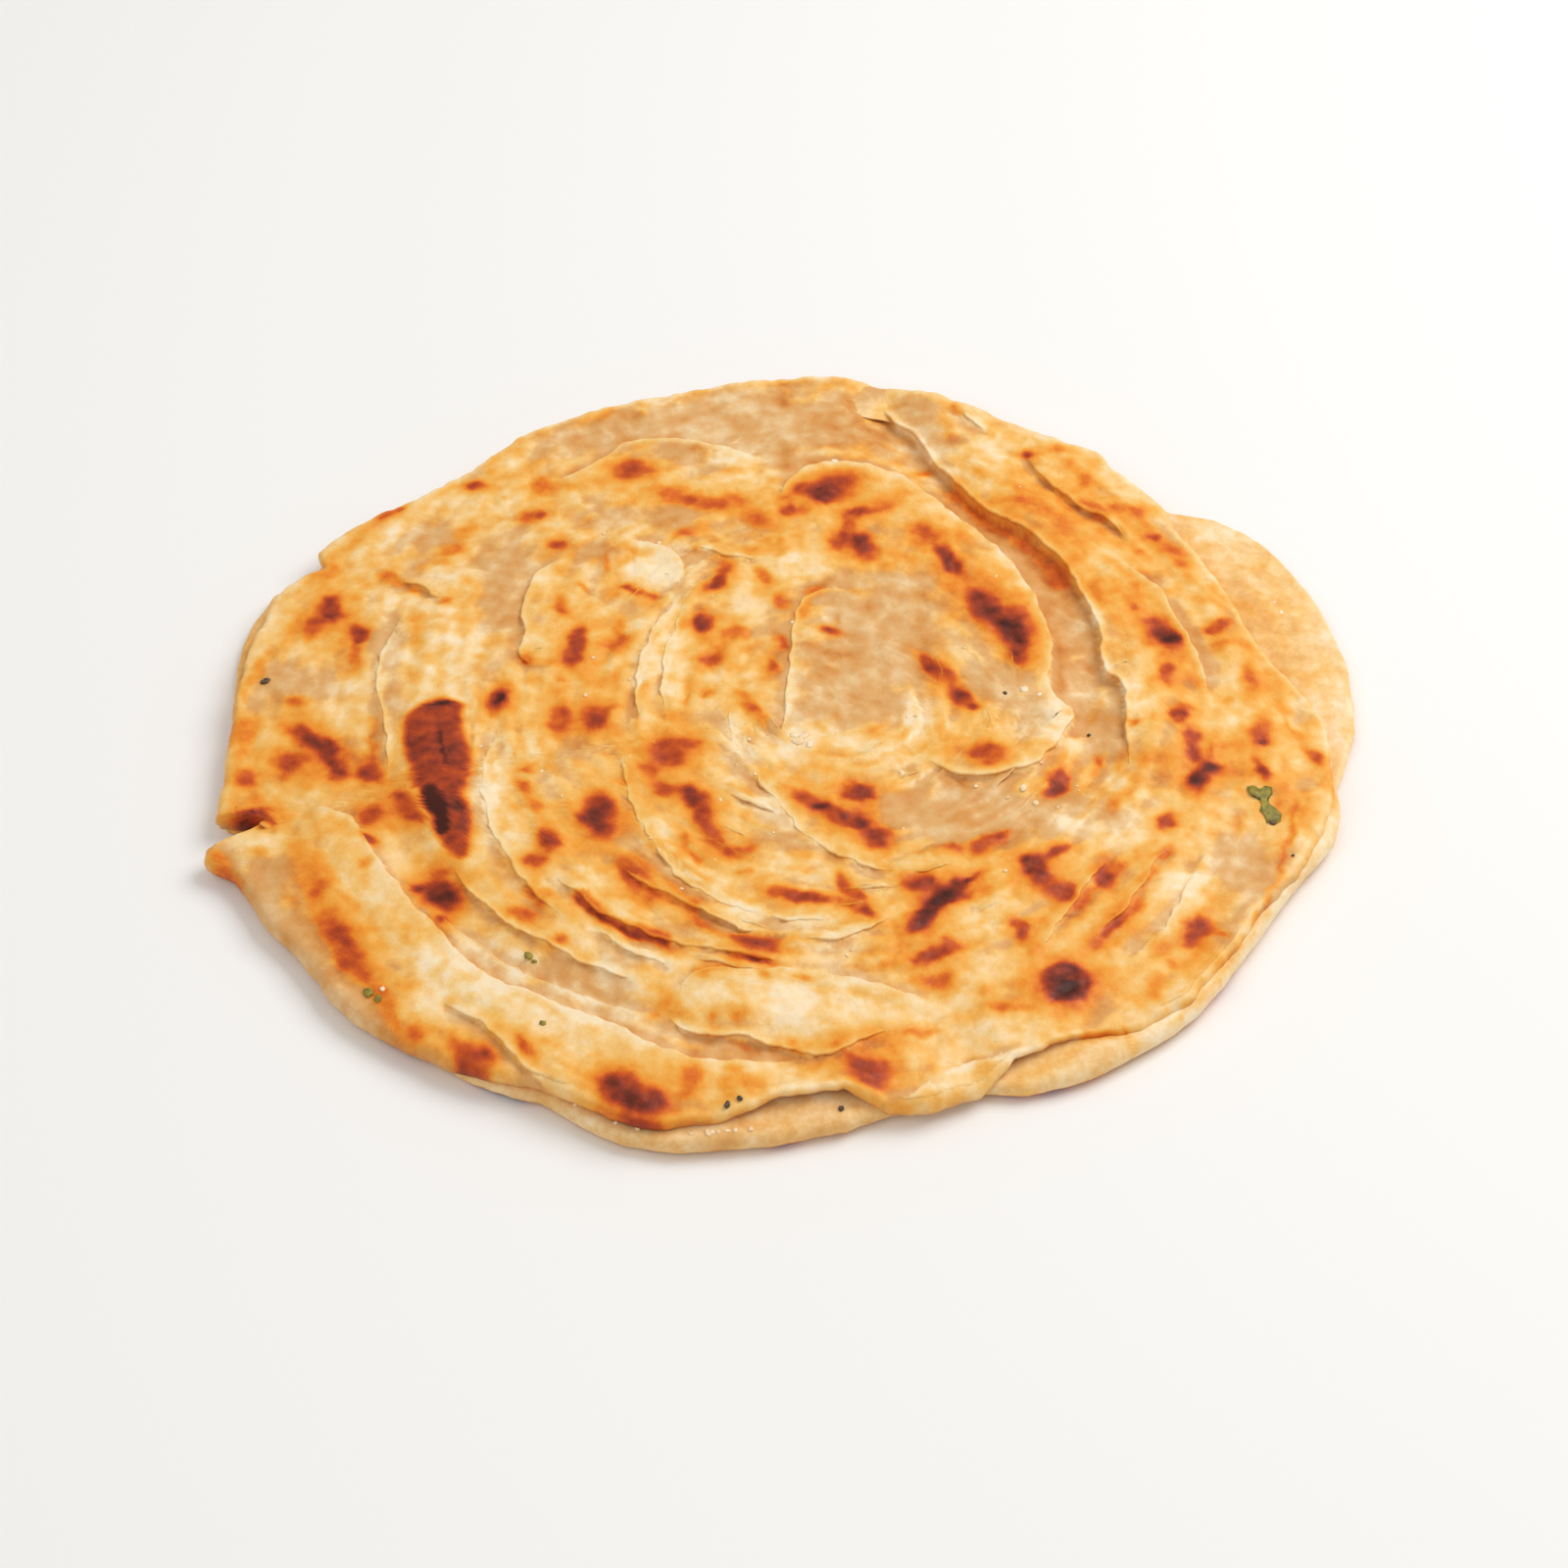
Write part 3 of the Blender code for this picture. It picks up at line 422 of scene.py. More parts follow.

# Tan dough soaked with oil in the hollows, and in some places painted shade: (x, y, half-length, half-width,
# tilt, strength).
TAN = (
    (12, 12, 9, 12, 0, 1.1), (32, -22, 12, 6, 0, 1.2), (36, 8, 5, 12, 30, .8), (20, 30, 8, 8, 0, .6),
    (-5, 76, 30, 9, -2, .7), (-33, 74, 10, 4, 15, .8), (26, 68, 8, 2.6, -60, 1),
    # (36, 50), (48, 32), (51, 14) and (54, -2) lie in the groove beside the large fold on the far right:
    # partly painted shade of the fold, partly dough soaked with oil.
    (36, 50, 12, 4, -52, 1.1), (48, 32, 12, 3.5, -70, 1), (51, 14, 12, 3.5, 92, .6),
    (54, -2, 8, 3.5, 90, .8), (-86, 10, 7, 5, 0, .8), (-71, 14, 14, 2.6, 95, .6),
    (-52, 30, 12, 3.5, 92, .7), (-36, 40, 4, 3, 0, .8), (-16, 37, 3.5, 3, 0, .6),
    (-30, 50, 14, 4, -6, .6), (-68, 46, 6, 3, 10, .5), (-60, -40, 16, 3, -52, .3),
    (-44, -56, 12, 3.4, -30, .45), (-30, -63, 12, 3.4, -20, .45), (-12, -73, 12, 2, -8, .5),
    (-40, -14, 8, 3, 60, .5), (-9, -12, 12, 2.4, -65, .6), (-20, -38, 12, 2, -50, .4),
    (0, -30, 6, 3, 0, .3), (85, 30, 18, 6, 110, .35), (70, 24, 12, 1.6, 110, .7), (76, -32, 8, 5, 70, .5),
    # (-87, -45), (-76, -60) and (-60, -75) are painted shade on the rolled outer side of the broad fold at
    # the front left.
    (79, -43, 9, 3.6, 62, .8), (56, -24, 5, 3, 0, .5), (-87, -45, 14, 3.4, -56, .9),
    (-76, -60, 12, 3.4, -48, .9), (-60, -75, 12, 2.4, -36, .5), (51, -64, 6, 3, 60, .4),
    (33, -52, 4, 3, 90, .4), (12, 24, 4, 1.5, 60, .5), (-90, -32, 4, 3, -30, .5),
)

# Crumbs that lie apart from the rest: (x, y, radius, flatness). Some of them were guided by positions
# that the same scratch script turned into millimetres.
CRUMBS = (
    (-14, -91, 0.6, 0.6), (-12.2, -90.2, 0.4, 0.7), (-11, -91.8, 0.35, 0.8), (-9.5, -91.3, 0.45, 0.7),
    (-7, -92, 0.5, 0.6), (-16.5, -90, 0.35, 0.8), (-26, -91.5, 0.4, 0.8), (-30, -91, 0.35, 0.8),
    (-13, -88.8, 0.5, 0.6), (-10.4, -89.2, 0.35, 0.7), (-37, -87, 0.4, 0.7), (87.5, 33.5, 0.5, 0.3),
    (88.6, 31, 0.6, 0.3), (89.6, 29.6, 0.3, 0.4), (8, 64.5, 0.7, 0.4), (8.8, 63.8, 0.5, 0.4),
    (22, 60.5, 0.6, 0.4), (19, -13.5, 0.6, 0.5), (1.2, -6.4, 1.0, 0.3), (2.2, -5, 0.9, 0.3),
    (0.4, -4.8, 0.7, 0.3), (3.2, -7.2, 0.7, 0.3), (41, 6, 0.8, 0.3), (43.5, 5, 0.6, 0.4),
    (40, -17, 0.7, 0.4), (42, -20, 0.6, 0.4), (-24, 43, 0.5, 0.6), (-68, -60, 0.5, 0.5),
)

# The green leaf's outline, drawn round positions that a scratch script turned into millimetres, and
# dark or green specks: (x, y, radius, flatness).
HERB_LEAF = (
    (78.6, -16.3), (79.8, -15.8), (80.8, -16.6), (81.8, -15.9), (82.9, -16.2), (83.0, -17.4), (82.2, -18.2),
    (82.3, -19.6), (83.4, -20.6), (84.3, -21.8), (84.0, -23.2), (82.9, -24.0), (81.6, -23.6), (81.3, -22.2),
    (80.6, -21.0), (81.0, -19.6), (80.5, -18.3), (79.2, -17.9),
)
GREEN_SPECKS = (
    (-44, -53.5, 0.8, 0.5), (-41, -68.5, 0.6, 0.5), (-72, -62, 0.9, 0.5), (-70.5, -63.5, 0.7, 0.5),
    (-43, -54.5, 0.4, 0.6),
)
DARK_SPECKS = (
    (85.6, -30.5, 0.3, 0.7), (-10.5, -85.5, 0.6, 0.8), (-8.5, -84.5, 0.5, 0.8), (-93, 10, 0.7, 0.6),
    (37.5, 5.2, 0.4, 0.7), (52, -3, 0.35, 0.7), (82.5, -23.6, 0.6, 0.5), (8, -84, 0.5, 0.7),
)


# ---------------------------------------------------------------------------
# Numbers: noise, curves and soft shapes
# ---------------------------------------------------------------------------
LATTICE = np.random.default_rng(11).uniform(0, math.tau, (16, 256, 256))


def lattice_noise(u, v, seed, wrap=256):
    """Smooth noise from about -1 to 1 on a grid of unit cells that repeats after `wrap` rows."""
    angle = LATTICE[seed % 16]
    i = np.floor(u).astype(int)
    j = np.floor(v).astype(int)
    f = u - i
    g = v - j

    def corner(di, dj):
        turn = angle[(i + di) & 255, (j + dj) % wrap]
        return np.cos(turn) * (f - di) + np.sin(turn) * (g - dj)

    sf = f * f * f * (f * (6 * f - 15) + 10)
    sg = g * g * g * (g * (6 * g - 15) + 10)
    low = corner(0, 0) * (1 - sf) + corner(1, 0) * sf
    high = corner(0, 1) * (1 - sf) + corner(1, 1) * sf
    return 1.5 * (low * (1 - sg) + high * sg)


def noise(x, y, size, seed):
    """Smooth noise with lumps about `size` across."""
    return lattice_noise(x / size + 90.0 + 7.31 * seed, y / size + 90.0 + 3.77 * seed, seed)


def coil_polar(x, y):
    """Distance from the middle of the coil, and the direction from it."""
    dx, dy = x - COIL_MIDDLE[0], y - COIL_MIDDLE[1]
    return np.hypot(dx, dy), np.arctan2(dy, dx)


def coil_noise(x, y, across, along, seed):
    """Noise drawn out along the coil: `across` thick and about `along` long at 35 mm."""
    radius, turn = coil_polar(x, y)
    wander = 1.6 * noise(x, y, 14, seed + 3)
    cells = max(3, round(math.tau * 35 / along))
    return lattice_noise((radius + wander) / across + 7.3 * seed, turn / math.tau * cells, seed, cells)


def ease(value):
    """0 below 0, 1 above 1, and smooth between."""
    t = np.clip(value, 0.0, 1.0)
    return t * t * (3 - 2 * t)


def smooth_path(points, step):
    """Points about `step` apart on a smooth curve through the given ones."""
    p = np.array(points, float)
    p = np.vstack([2 * p[0] - p[1], p, 2 * p[-1] - p[-2]])
    curve = []
    for a, b, c, d in zip(p, p[1:], p[2:], p[3:]):
        count = max(2, int(np.linalg.norm(c - b) / step))
        t = np.linspace(0, 1, count, endpoint=False)[:, None]
        curve.append(0.5 * (2 * b + (c - a) * t + (2 * a - 5 * b + 4 * c - d) * t**2
                            + (3 * b - a - 3 * c + d) * t**3))
    return np.vstack(curve + [p[-2][None]])


def beside_path(x, y, path):
    """Distance to the path, positive on its left, and how far along it, from 0 to 1."""
    nearest = np.full(x.shape, 1e9)
    side = np.zeros(x.shape)
    along = np.zeros(x.shape)
    count = len(path) - 1
    for k in range(count):
        (ax, ay), (dx, dy) = path[k], path[k + 1] - path[k]
        px, py = x - ax, y - ay
        t = np.clip((px * dx + py * dy) / (dx * dx + dy * dy), 0, 1)
        gap = np.hypot(px - t * dx, py - t * dy)
        closer = gap < nearest
        nearest = np.where(closer, gap, nearest)
        side = np.where(closer, np.sign(dx * py - dy * px), side)
        along = np.where(closer, (k + t) / count, along)
    return nearest * side, along


def near_path(x, y, path, margin):
    """Which points lie in the path's box, widened by the margin."""
    low = path.min(axis=0) - margin
    high = path.max(axis=0) + margin
    return np.nonzero((x > low[0]) & (x < high[0]) & (y > low[1]) & (y < high[1]))[0]


def ovals(x, y, marks, steepness, power, spread=1.0):
    """Soft oval marks, joined so that overlapping ones hardly add up."""
    total = np.zeros(x.shape)
    for mx, my, half_length, half_width, tilt, strength in marks:
        reach = 3.0 * spread * max(half_length, half_width)
        near = np.nonzero((abs(x - mx) < reach) & (abs(y - my) < reach))[0]
        c, s = math.cos(math.radians(tilt)), math.sin(math.radians(tilt))
        dx, dy = x[near] - mx, y[near] - my
        far = np.hypot((dx * c + dy * s) / half_length, (dy * c - dx * s) / half_width) / spread
        shape = ease((3.0 - far) / 1.5) / (1 + far**steepness)
        total[near] += (strength * shape) ** power
    return total ** (1 / power)


# ---------------------------------------------------------------------------
# The rims, read from the solid
# ---------------------------------------------------------------------------
RIM_BINS = 180  # directions in which the radius of the solid is read
NOISE_CIRCLE = 90  # radius in millimetres of the circle on which the waves of a rim are read


def rim_radius(lowest, highest, least):
    """A function of angle: the radius of the solid's outermost corners between two heights."""
    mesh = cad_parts["paratha"].data
    corners = np.empty(3 * len(mesh.vertices))
    mesh.vertices.foreach_get("co", corners)
    corners = corners.reshape(-1, 3) / METRES
    radius = np.hypot(corners[:, 0], corners[:, 1])
    kept = (corners[:, 2] > lowest) & (corners[:, 2] < highest) & (radius > least)
    angle = np.arctan2(corners[kept, 1], corners[kept, 0])
    bins = np.linspace(-math.pi, math.pi, RIM_BINS + 1)
    middle = 0.5 * (bins[1:] + bins[:-1])
    which = np.digitize(angle, bins) - 1
    largest = np.zeros(len(middle))
    np.maximum.at(largest, np.clip(which, 0, RIM_BINS - 1), radius[kept])
    good = largest > 0
    at = np.concatenate([middle[good] - math.tau, middle[good], middle[good] + math.tau])
    value = np.tile(largest[good], 3)
    return lambda turn: np.interp(turn, at, value)


SOLID_LOWER_RIM = rim_radius(0.9, 1.8, 80)
SOLID_UPPER_RIM = rim_radius(3.4, 6.6, 75)


def at_angle(turn, table):
    """The value at an angle, in a table of (degrees, value)."""
    return np.interp(np.degrees(turn), *np.array(table, float).T)


def window(turn, middle, half_width, fade):
    """1 near the middle angle and 0 beyond half the width, in degrees."""
    return ease((half_width - abs(np.degrees(turn) - middle)) / fade)


def drape(turn):
    """How far the upper leaves hang over the lower one at an angle, from 0 to 1."""
    return at_angle(turn, DRAPE)


def rim_notch(turn):
    """Depth of the torn notch in the left rim at an angle, less than 0 on the tip beside it."""
    degrees = np.degrees(turn)
    notch = NOTCH_DEPTH * np.clip(1 - abs(degrees - NOTCH_ANGLE) / NOTCH_HALF_ANGLE, 0, 1)
    return notch - TIP_LENGTH * ease(1 - abs(degrees - TIP_ANGLE) / TIP_HALF_ANGLE)


def upper_rim(turn):
    """Radius of the upper leaves at an angle, with the small waves of a torn edge."""
    x, y = NOISE_CIRCLE * np.cos(turn), NOISE_CIRCLE * np.sin(turn)
    hang = drape(turn)
    plain = SOLID_UPPER_RIM(turn) * (1 - hang) + SOLID_LOWER_RIM(turn) * hang
    return plain + 0.5 * noise(x, y, 7, 3) + 0.25 * noise(x, y, 2.5, 4) - 0.4 - rim_notch(turn)


def lower_rim(turn):
    """Radius of the wide lower leaf at an angle."""
    x, y = NOISE_CIRCLE * np.cos(turn), NOISE_CIRCLE * np.sin(turn)
    plain = SOLID_LOWER_RIM(turn) + 0.3 * noise(x, y, 8, 5) + 0.15 * noise(x, y, 2.5, 6)
    return plain - 0.4 - 2.6 * drape(turn) - rim_notch(turn)


# ---------------------------------------------------------------------------
# Height of the top
# ---------------------------------------------------------------------------
EDGE_PATHS = [smooth_path(points, 2.5) for _, _, _, points in LEAF_EDGES]
FOLD_PATHS = [smooth_path(points, 4.0) for _, _, points in FOLDS]
OUTLINE_PATHS = [smooth_path(points + points[:1], 2.5) for _, _, points in OUTLINED_TOAST]
STREAK_PATHS = [smooth_path(points, 2.5) for _, _, points in STREAKS]


def coil_steps(x, y):
    """Where a point lies across its turn of the coil, from 0 to 1, and how plainly it shows."""
    radius, turn = coil_polar(x, y)
    wander = 2.4 * noise(x, y, 15, 1) + 0.9 * noise(x, y, 6, 2)
    across = np.mod((radius + wander) / COIL_PITCH + turn / math.tau, 1.0)
    dx, dy = x - COIL_MIDDLE[0], y - COIL_MIDDLE[1]
    front = ease((22 - dy) / 36) * (0.35 + 0.65 * ease((58 - dx) / 50)) * ease((72 - radius) / 16)
    left = ease((-dx - 4) / 16) * ease((58 - radius) / 20)
    patchy = ease(0.6 + 0.9 * noise(x, y, 11, 7))
    plain = np.clip(0.16 + np.maximum(front, left), 0, 1) * patchy * ease((radius - 9) / 8)
    return across, plain


def ridges(x, y):
    """Thin flaky ridges, most of them along the turns of the coil, from 0 to 1."""
    _, plain = coil_steps(x, y)
    turning = np.exp(-((coil_noise(x, y, 3.4, 16, 11) / 0.26) ** 2)) * ease(plain / 0.6)
    patchy = ease(0.35 + 0.9 * noise(x, y, 14, 6))
    crossing = np.exp(-((noise(x, y, 6, 5) / 0.14) ** 2)) * patchy
    broken = ease(0.6 + 1.2 * noise(x, y, 4, 10))
    return np.maximum(turning, 0.8 * crossing) * broken


def relief(x, y):
    """Lumps and wrinkles of the dough, in millimetres above or below the plain surface."""
    lumps = 0.36 * noise(x, y, 13, 8) + 0.26 * noise(x, y, 6, 9) + 0.13 * noise(x, y, 2.8, 10)
    along = 0.16 * coil_noise(x, y, 2.6, 16, 4) + 0.10 * coil_noise(x, y, 1.5, 9, 6)
    wrinkles = -0.16 * np.exp(-((noise(x, y, 6.5, 11) / 0.07) ** 2))
    across, plain = coil_steps(x, y)
    steps = 0.52 * plain * (across * ease((1 - across) / 0.16) - 0.4)
    return lumps + along + wrinkles + steps + 0.22 * ridges(x, y) + 0.05 * noise(x, y, 1.4, 12)


def leaf_edge_fields(x, y):
    """Around the free edges of leaves: height to add, a painted highlight along the raised edge, painted
    shade just beyond it, and the browned edge.
    """
    height, painted_lip_highlight, painted_foot_shade, browned = (np.zeros(x.shape) for _ in range(4))
    for (lift, reach, toasted, _), path in zip(LEAF_EDGES, EDGE_PATHS):
        near = near_path(x, y, path, max(5, 1.4 * reach))
        gap, along = beside_path(x[near], y[near], path)
        ends = ease(along / 0.12) * ease((1 - along) / 0.12)
        body = 0.5 * ease(1 - gap / (1.4 * reach)) * ease((gap + 0.5) / 1.0)
        trough = -0.35 * np.exp(-((gap / 1.8) ** 2)) * ease((0.4 - gap) / 0.8)
        height[near] += lift * ends * (body + trough)
        plain = ends * min(1, 0.4 + lift / 2)
        # Just inside a free edge the dough is made paler: a painted highlight on the raised edge. Just beyond
        # it the under mask makes it darker and more see-through: painted shade.
        over = plain * np.where(gap > -0.2, np.exp(-((gap / 1.3) ** 2)), 0)
        under = plain * np.where(gap < 0, np.exp(-((gap / 2.0) ** 2)), 0)
        painted_lip_highlight[near] = np.maximum(painted_lip_highlight[near], over * (1 - toasted))
        browned[near] = np.maximum(browned[near], 0.62 * over * toasted)
        painted_foot_shade[near] = np.maximum(painted_foot_shade[near], under)
    return height, painted_lip_highlight, painted_foot_shade, browned


def plain_height(x, y):
    """Height of the top leaf with its folds, hollows and blisters, but without lumps and edges."""
    turn = np.arctan2(y, x)
    share = np.hypot(x, y) / upper_rim(turn)
    fall = ease((share - SHOULDER_START) / (1 - SHOULDER_START))
    z = MIDDLE_HEIGHT + (SHOULDER_HEIGHT - 1.6 * drape(turn) - MIDDLE_HEIGHT) * fall
    for (half_width, height, _), path in zip(FOLDS, FOLD_PATHS):
        near = near_path(x, y, path, 3 * half_width)
        gap, _ = beside_path(x[near], y[near], path)
        z[near] += height * np.exp(-((gap / half_width) ** 2))
    for mx, my, half_length, half_width, tilt, height in BLISTERS:
        c, s = math.cos(math.radians(tilt)), math.sin(math.radians(tilt))
        along = ((x - mx) * c + (y - my) * s) / half_length
        across = ((y - my) * c - (x - mx) * s) / half_width
        z += height * np.exp(-(along**2) - across**2)
    return z


def toasting(x, y):
    """How toasted each point is, from 0 to a little over 1."""
    wx = x + 0.8 * noise(x, y, 4.5, 13) + 0.4 * noise(x, y, 1.9, 14)
    wy = y + 0.8 * noise(x, y, 4.5, 15) + 0.4 * noise(x, y, 1.9, 0)
    toast = ovals(wx, wy, TOAST, 4.0, 3.0, TOAST_SPREAD)
    near_x, near_y = 0.7 * x + 0.3 * wx, 0.7 * y + 0.3 * wy
    halo = ovals(0.5 * (x + wx), 0.5 * (y + wy), TOAST, 2.6, 2.0, HALO_SPREAD)
    toast = ((TOAST_SHARE * toast) ** 4 + (HALO_SHARE * halo) ** 4) ** 0.25
    for (strength, softness, _), path in zip(OUTLINED_TOAST, OUTLINE_PATHS):
        near = near_path(x, y, path, softness)
        gap, _ = beside_path(near_x[near], near_y[near], path)
        toast[near] = np.maximum(toast[near], strength * ease(0.5 + gap / softness))
    toast = np.maximum(toast, ovals(near_x, near_y, SHARP_TOAST, 7.0, 4.0))
    for (half_width, strength, _), path in zip(STREAKS, STREAK_PATHS):
        near = near_path(x, y, path, 4 * half_width)
        gap, along = beside_path(wx[near], wy[near], path)
        ends = ease(along / 0.1) * ease((1 - along) / 0.1)
        toast[near] = np.maximum(toast[near], strength * ends / (1 + abs(gap / half_width) ** 3))
    return toast * (1.04 + 0.14 * noise(x, y, 3.5, 5) + 0.12 * noise(x, y, 1.6, 7))


def dough_shares(x, y, bumps, toast, painted_lip_highlight, painted_foot_shade, base_cook):
    """How cooked the dough is, and how soaked with oil and see-through, from its toast, bumps and edges, with
    a painted highlight along raised edges of leaves and painted shade beyond them.
    """
    across, plain = coil_steps(x, y)
    pale = ovals(x + noise(x, y, 3, 1), y + noise(x, y, 3, 2), PALE, 3.0, 2)
    gold = ovals(x, y, GOLD, 2.5, 2)
    tan = ovals(x + noise(x, y, 4, 3), y + noise(x, y, 4, 4), TAN, 3.0, 2)
    ragged = ease(0.75 + 0.9 * noise(x, y, 6, 8))
    painted_lip_highlight = painted_lip_highlight * ragged
    painted_foot_shade = painted_foot_shade * (0.3 + 0.7 * ragged)
    base = base_cook + 0.10 * gold - 0.22 * pale + 0.13 * noise(x, y, 8, 2) + 0.15 * noise(x, y, 3, 6)
    base += 0.08 * noise(x, y, 22, 4) + 0.10 * coil_noise(x, y, 2.2, 12, 2) + 0.10 * plain * (across - 0.6)
    flaky = ridges(x, y)
    base -= 0.26 * plain * np.exp(-(((across - 0.92) / 0.06) ** 2)) + 0.16 * flaky
    # Raised edges are made paler, a painted highlight, and the dough just beyond them more cooked, painted
    # shade.
    base = np.clip(base - 0.14 * painted_lip_highlight + 0.05 * painted_foot_shade, 0, 0.46)
    cook_and_painted_light = (base**2.2 + (toast * (1 - 0.25 * painted_lip_highlight)) ** 2.2) ** (1 / 2.2)
    oily_and_painted_light = 0.95 * tan - 0.35 * flaky - 0.5 * pale - 0.2 * gold
    oily_and_painted_light = oily_and_painted_light + 0.30 * noise(x, y, 9, 12) + 0.22 * noise(x, y, 4, 1)
    oily_and_painted_light += 0.2 * coil_noise(x, y, 2.4, 15, 9) - 0.45 * bumps + 0.5 * plain * (0.4 - across)
    # Beyond raised edges more of the darker see-through colour is painted shade; on raised edges less of it
    # is a painted highlight.
    oily_and_painted_light = ease((oily_and_painted_light + 0.9 * painted_foot_shade - 0.6 * painted_lip_highlight + 0.20) / 0.85) * ease((0.6 - toast) / 0.3)
    return np.clip(cook_and_painted_light, 0, 1.3), np.clip(oily_and_painted_light, 0, 1)


def surface(x, y):
    """The top leaf at (x, y): its height, how cooked it is, and how soaked with oil and see-through, with
    painted highlights and shade along the free edges of leaves.
    """
    bumps = relief(x, y)
    added, painted_lip_highlight, painted_foot_shade, browned = leaf_edge_fields(x, y)
    z = plain_height(x, y) + added + bumps
    over = z - (TOP_LIMIT - 0.8)
    z = np.where(over > 0, TOP_LIMIT - 0.8 + 0.6 * np.tanh(over / 0.9), z)
    toast = np.maximum(toasting(x, y), browned)
    cook_and_painted_light, oily_and_painted_light = dough_shares(x, y, bumps, toast, painted_lip_highlight, painted_foot_shade, BASE_COOK)
    return z, cook_and_painted_light, oily_and_painted_light


# ---------------------------------------------------------------------------
# Meshes
# ---------------------------------------------------------------------------
# Two shares on every corner: how cooked the dough is, and how soaked with oil and see-through. Both also
# carry painted highlights along raised edges and painted shade beside and beneath them.
SHARES = ("cook_and_painted_light", "oily_and_painted_light")


def make_piece(name, points, quads, shares, material):
    """A smooth mesh object from millimetre points, with the cooking shares on its corners, painted highlights
    and shade included.
    """
    mesh = bpy.data.meshes.new(name)
    mesh.vertices.add(len(points))
    mesh.vertices.foreach_set("co", (points * METRES).astype(np.float32).ravel())
    mesh.loops.add(quads.size)
    mesh.loops.foreach_set("vertex_index", quads.astype(np.int32).ravel())
    mesh.polygons.add(len(quads))
    mesh.polygons.foreach_set("loop_start", np.arange(0, quads.size, quads.shape[1], dtype=np.int32))
    mesh.update(calc_edges=True)
    for share, values in zip(SHARES, shares):
        mesh.attributes.new(share, "FLOAT", "POINT").data.foreach_set("value", values.astype(np.float32))
    mesh.validate()
    mesh.shade_smooth()
    mesh.materials.append(material)
    piece = bpy.data.objects.new(name, mesh)
    bpy.context.scene.collection.objects.link(piece)
    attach(piece, "root")
    return piece


def grid_quads(rows, columns, closed):
    """Quads between rows of points; a closed grid joins its last column to its first."""
    wide = columns if closed else columns - 1
    i, j = np.meshgrid(np.arange(rows - 1), np.arange(wide), indexing="ij")
    k = (j + 1) % columns
    return np.stack([i * columns + j, i * columns + k, (i + 1) * columns + k, (i + 1) * columns + j],
                    axis=-1).reshape(-1, 4)


def disc_grid(rings):
    """A square grid bent to a disc: ring number and angle of each point, and the quads."""
    side = 2 * rings + 1
    j, i = np.meshgrid(np.arange(side) - rings, np.arange(side) - rings)
    i, j = i.ravel().astype(float), j.ravel().astype(float)
    ring = np.maximum(abs(i), abs(j))
    with np.errstate(divide="ignore", invalid="ignore"):
        flat = math.pi / 4 * np.where(abs(i) >= abs(j), j / i, i / j)
    flat = np.nan_to_num(flat)
    turn = np.where(abs(i) >= abs(j), np.where(i >= 0, flat, math.pi + flat),
                    np.where(j >= 0, math.pi / 2 - flat, 1.5 * math.pi - flat))
    turn = np.arctan2(np.sin(turn), np.cos(turn))
    a, b = np.meshgrid(np.arange(side - 1), np.arange(side - 1))
    first = (b * side + a).ravel()
    quads = np.stack([first, first + 1, first + side + 1, first + side], axis=-1)
    return ring.astype(int), turn, quads


def top_leaf(material):
    """The whole upper surface, rolled over its rim and a little way back underneath."""
    rings = TOP_RINGS + RIM_RINGS
    ring, turn, quads = disc_grid(rings)
    rim = upper_rim(turn)
    hang = drape(turn)
    roll = 0.8 + 1.4 * hang
    beyond = np.clip(ring - TOP_RINGS, 0, RIM_RINGS)
    share = np.minimum(ring, TOP_RINGS) / TOP_RINGS
    side = np.clip(beyond / (RIM_RINGS - TUCK_RINGS), 0, 1)
    bend = math.pi * side
    under = np.clip(beyond - (RIM_RINGS - TUCK_RINGS), 0, TUCK_RINGS) * 1.2
    radius = share * (rim - roll) + roll * np.sin(bend) - under
    x, y = radius * np.cos(turn), radius * np.sin(turn)
    z, cook_and_painted_light, oily_and_painted_light = surface(x, y)
    edge_z = z.copy()
    rolled = np.nonzero(beyond > 0)[0]
    inner = (rim - roll)[rolled]
    edge_z[rolled] = surface(inner * np.cos(turn[rolled]), inner * np.sin(turn[rolled]))[0]
    drop = 0.8 * (1 - hang) + hang * (edge_z - 0.9) / 2
    z = np.where(beyond > 0, edge_z - drop * (1 - np.cos(bend)), z)
    points = np.stack([x, y, z], axis=-1)
    # A thin paler line along the rim is a painted highlight on the rolled edge; more of the darker
    # see-through colour on the rolled side beneath is painted shade.
    painted_lip_highlight = ease((ring - TOP_RINGS + 2) / 3) * (1 - ease(side / 0.5)) * (1 - hang)
    cook_and_painted_light = cook_and_painted_light * (1 - 0.5 * painted_lip_highlight)
    oily_and_painted_light = np.clip(oily_and_painted_light * (1 - painted_lip_highlight) + 0.9 * ease((side - 0.3) / 0.5), 0, 1)
    return make_piece("top_leaf", points, quads[:, ::-1], (cook_and_painted_light, oily_and_painted_light), material)


HOLD_INSET = 1.3  # how far in from a leaf's edge its roll takes its height, in millimetres
HOLD_REACH = 4  # points on each side over which that height is evened out


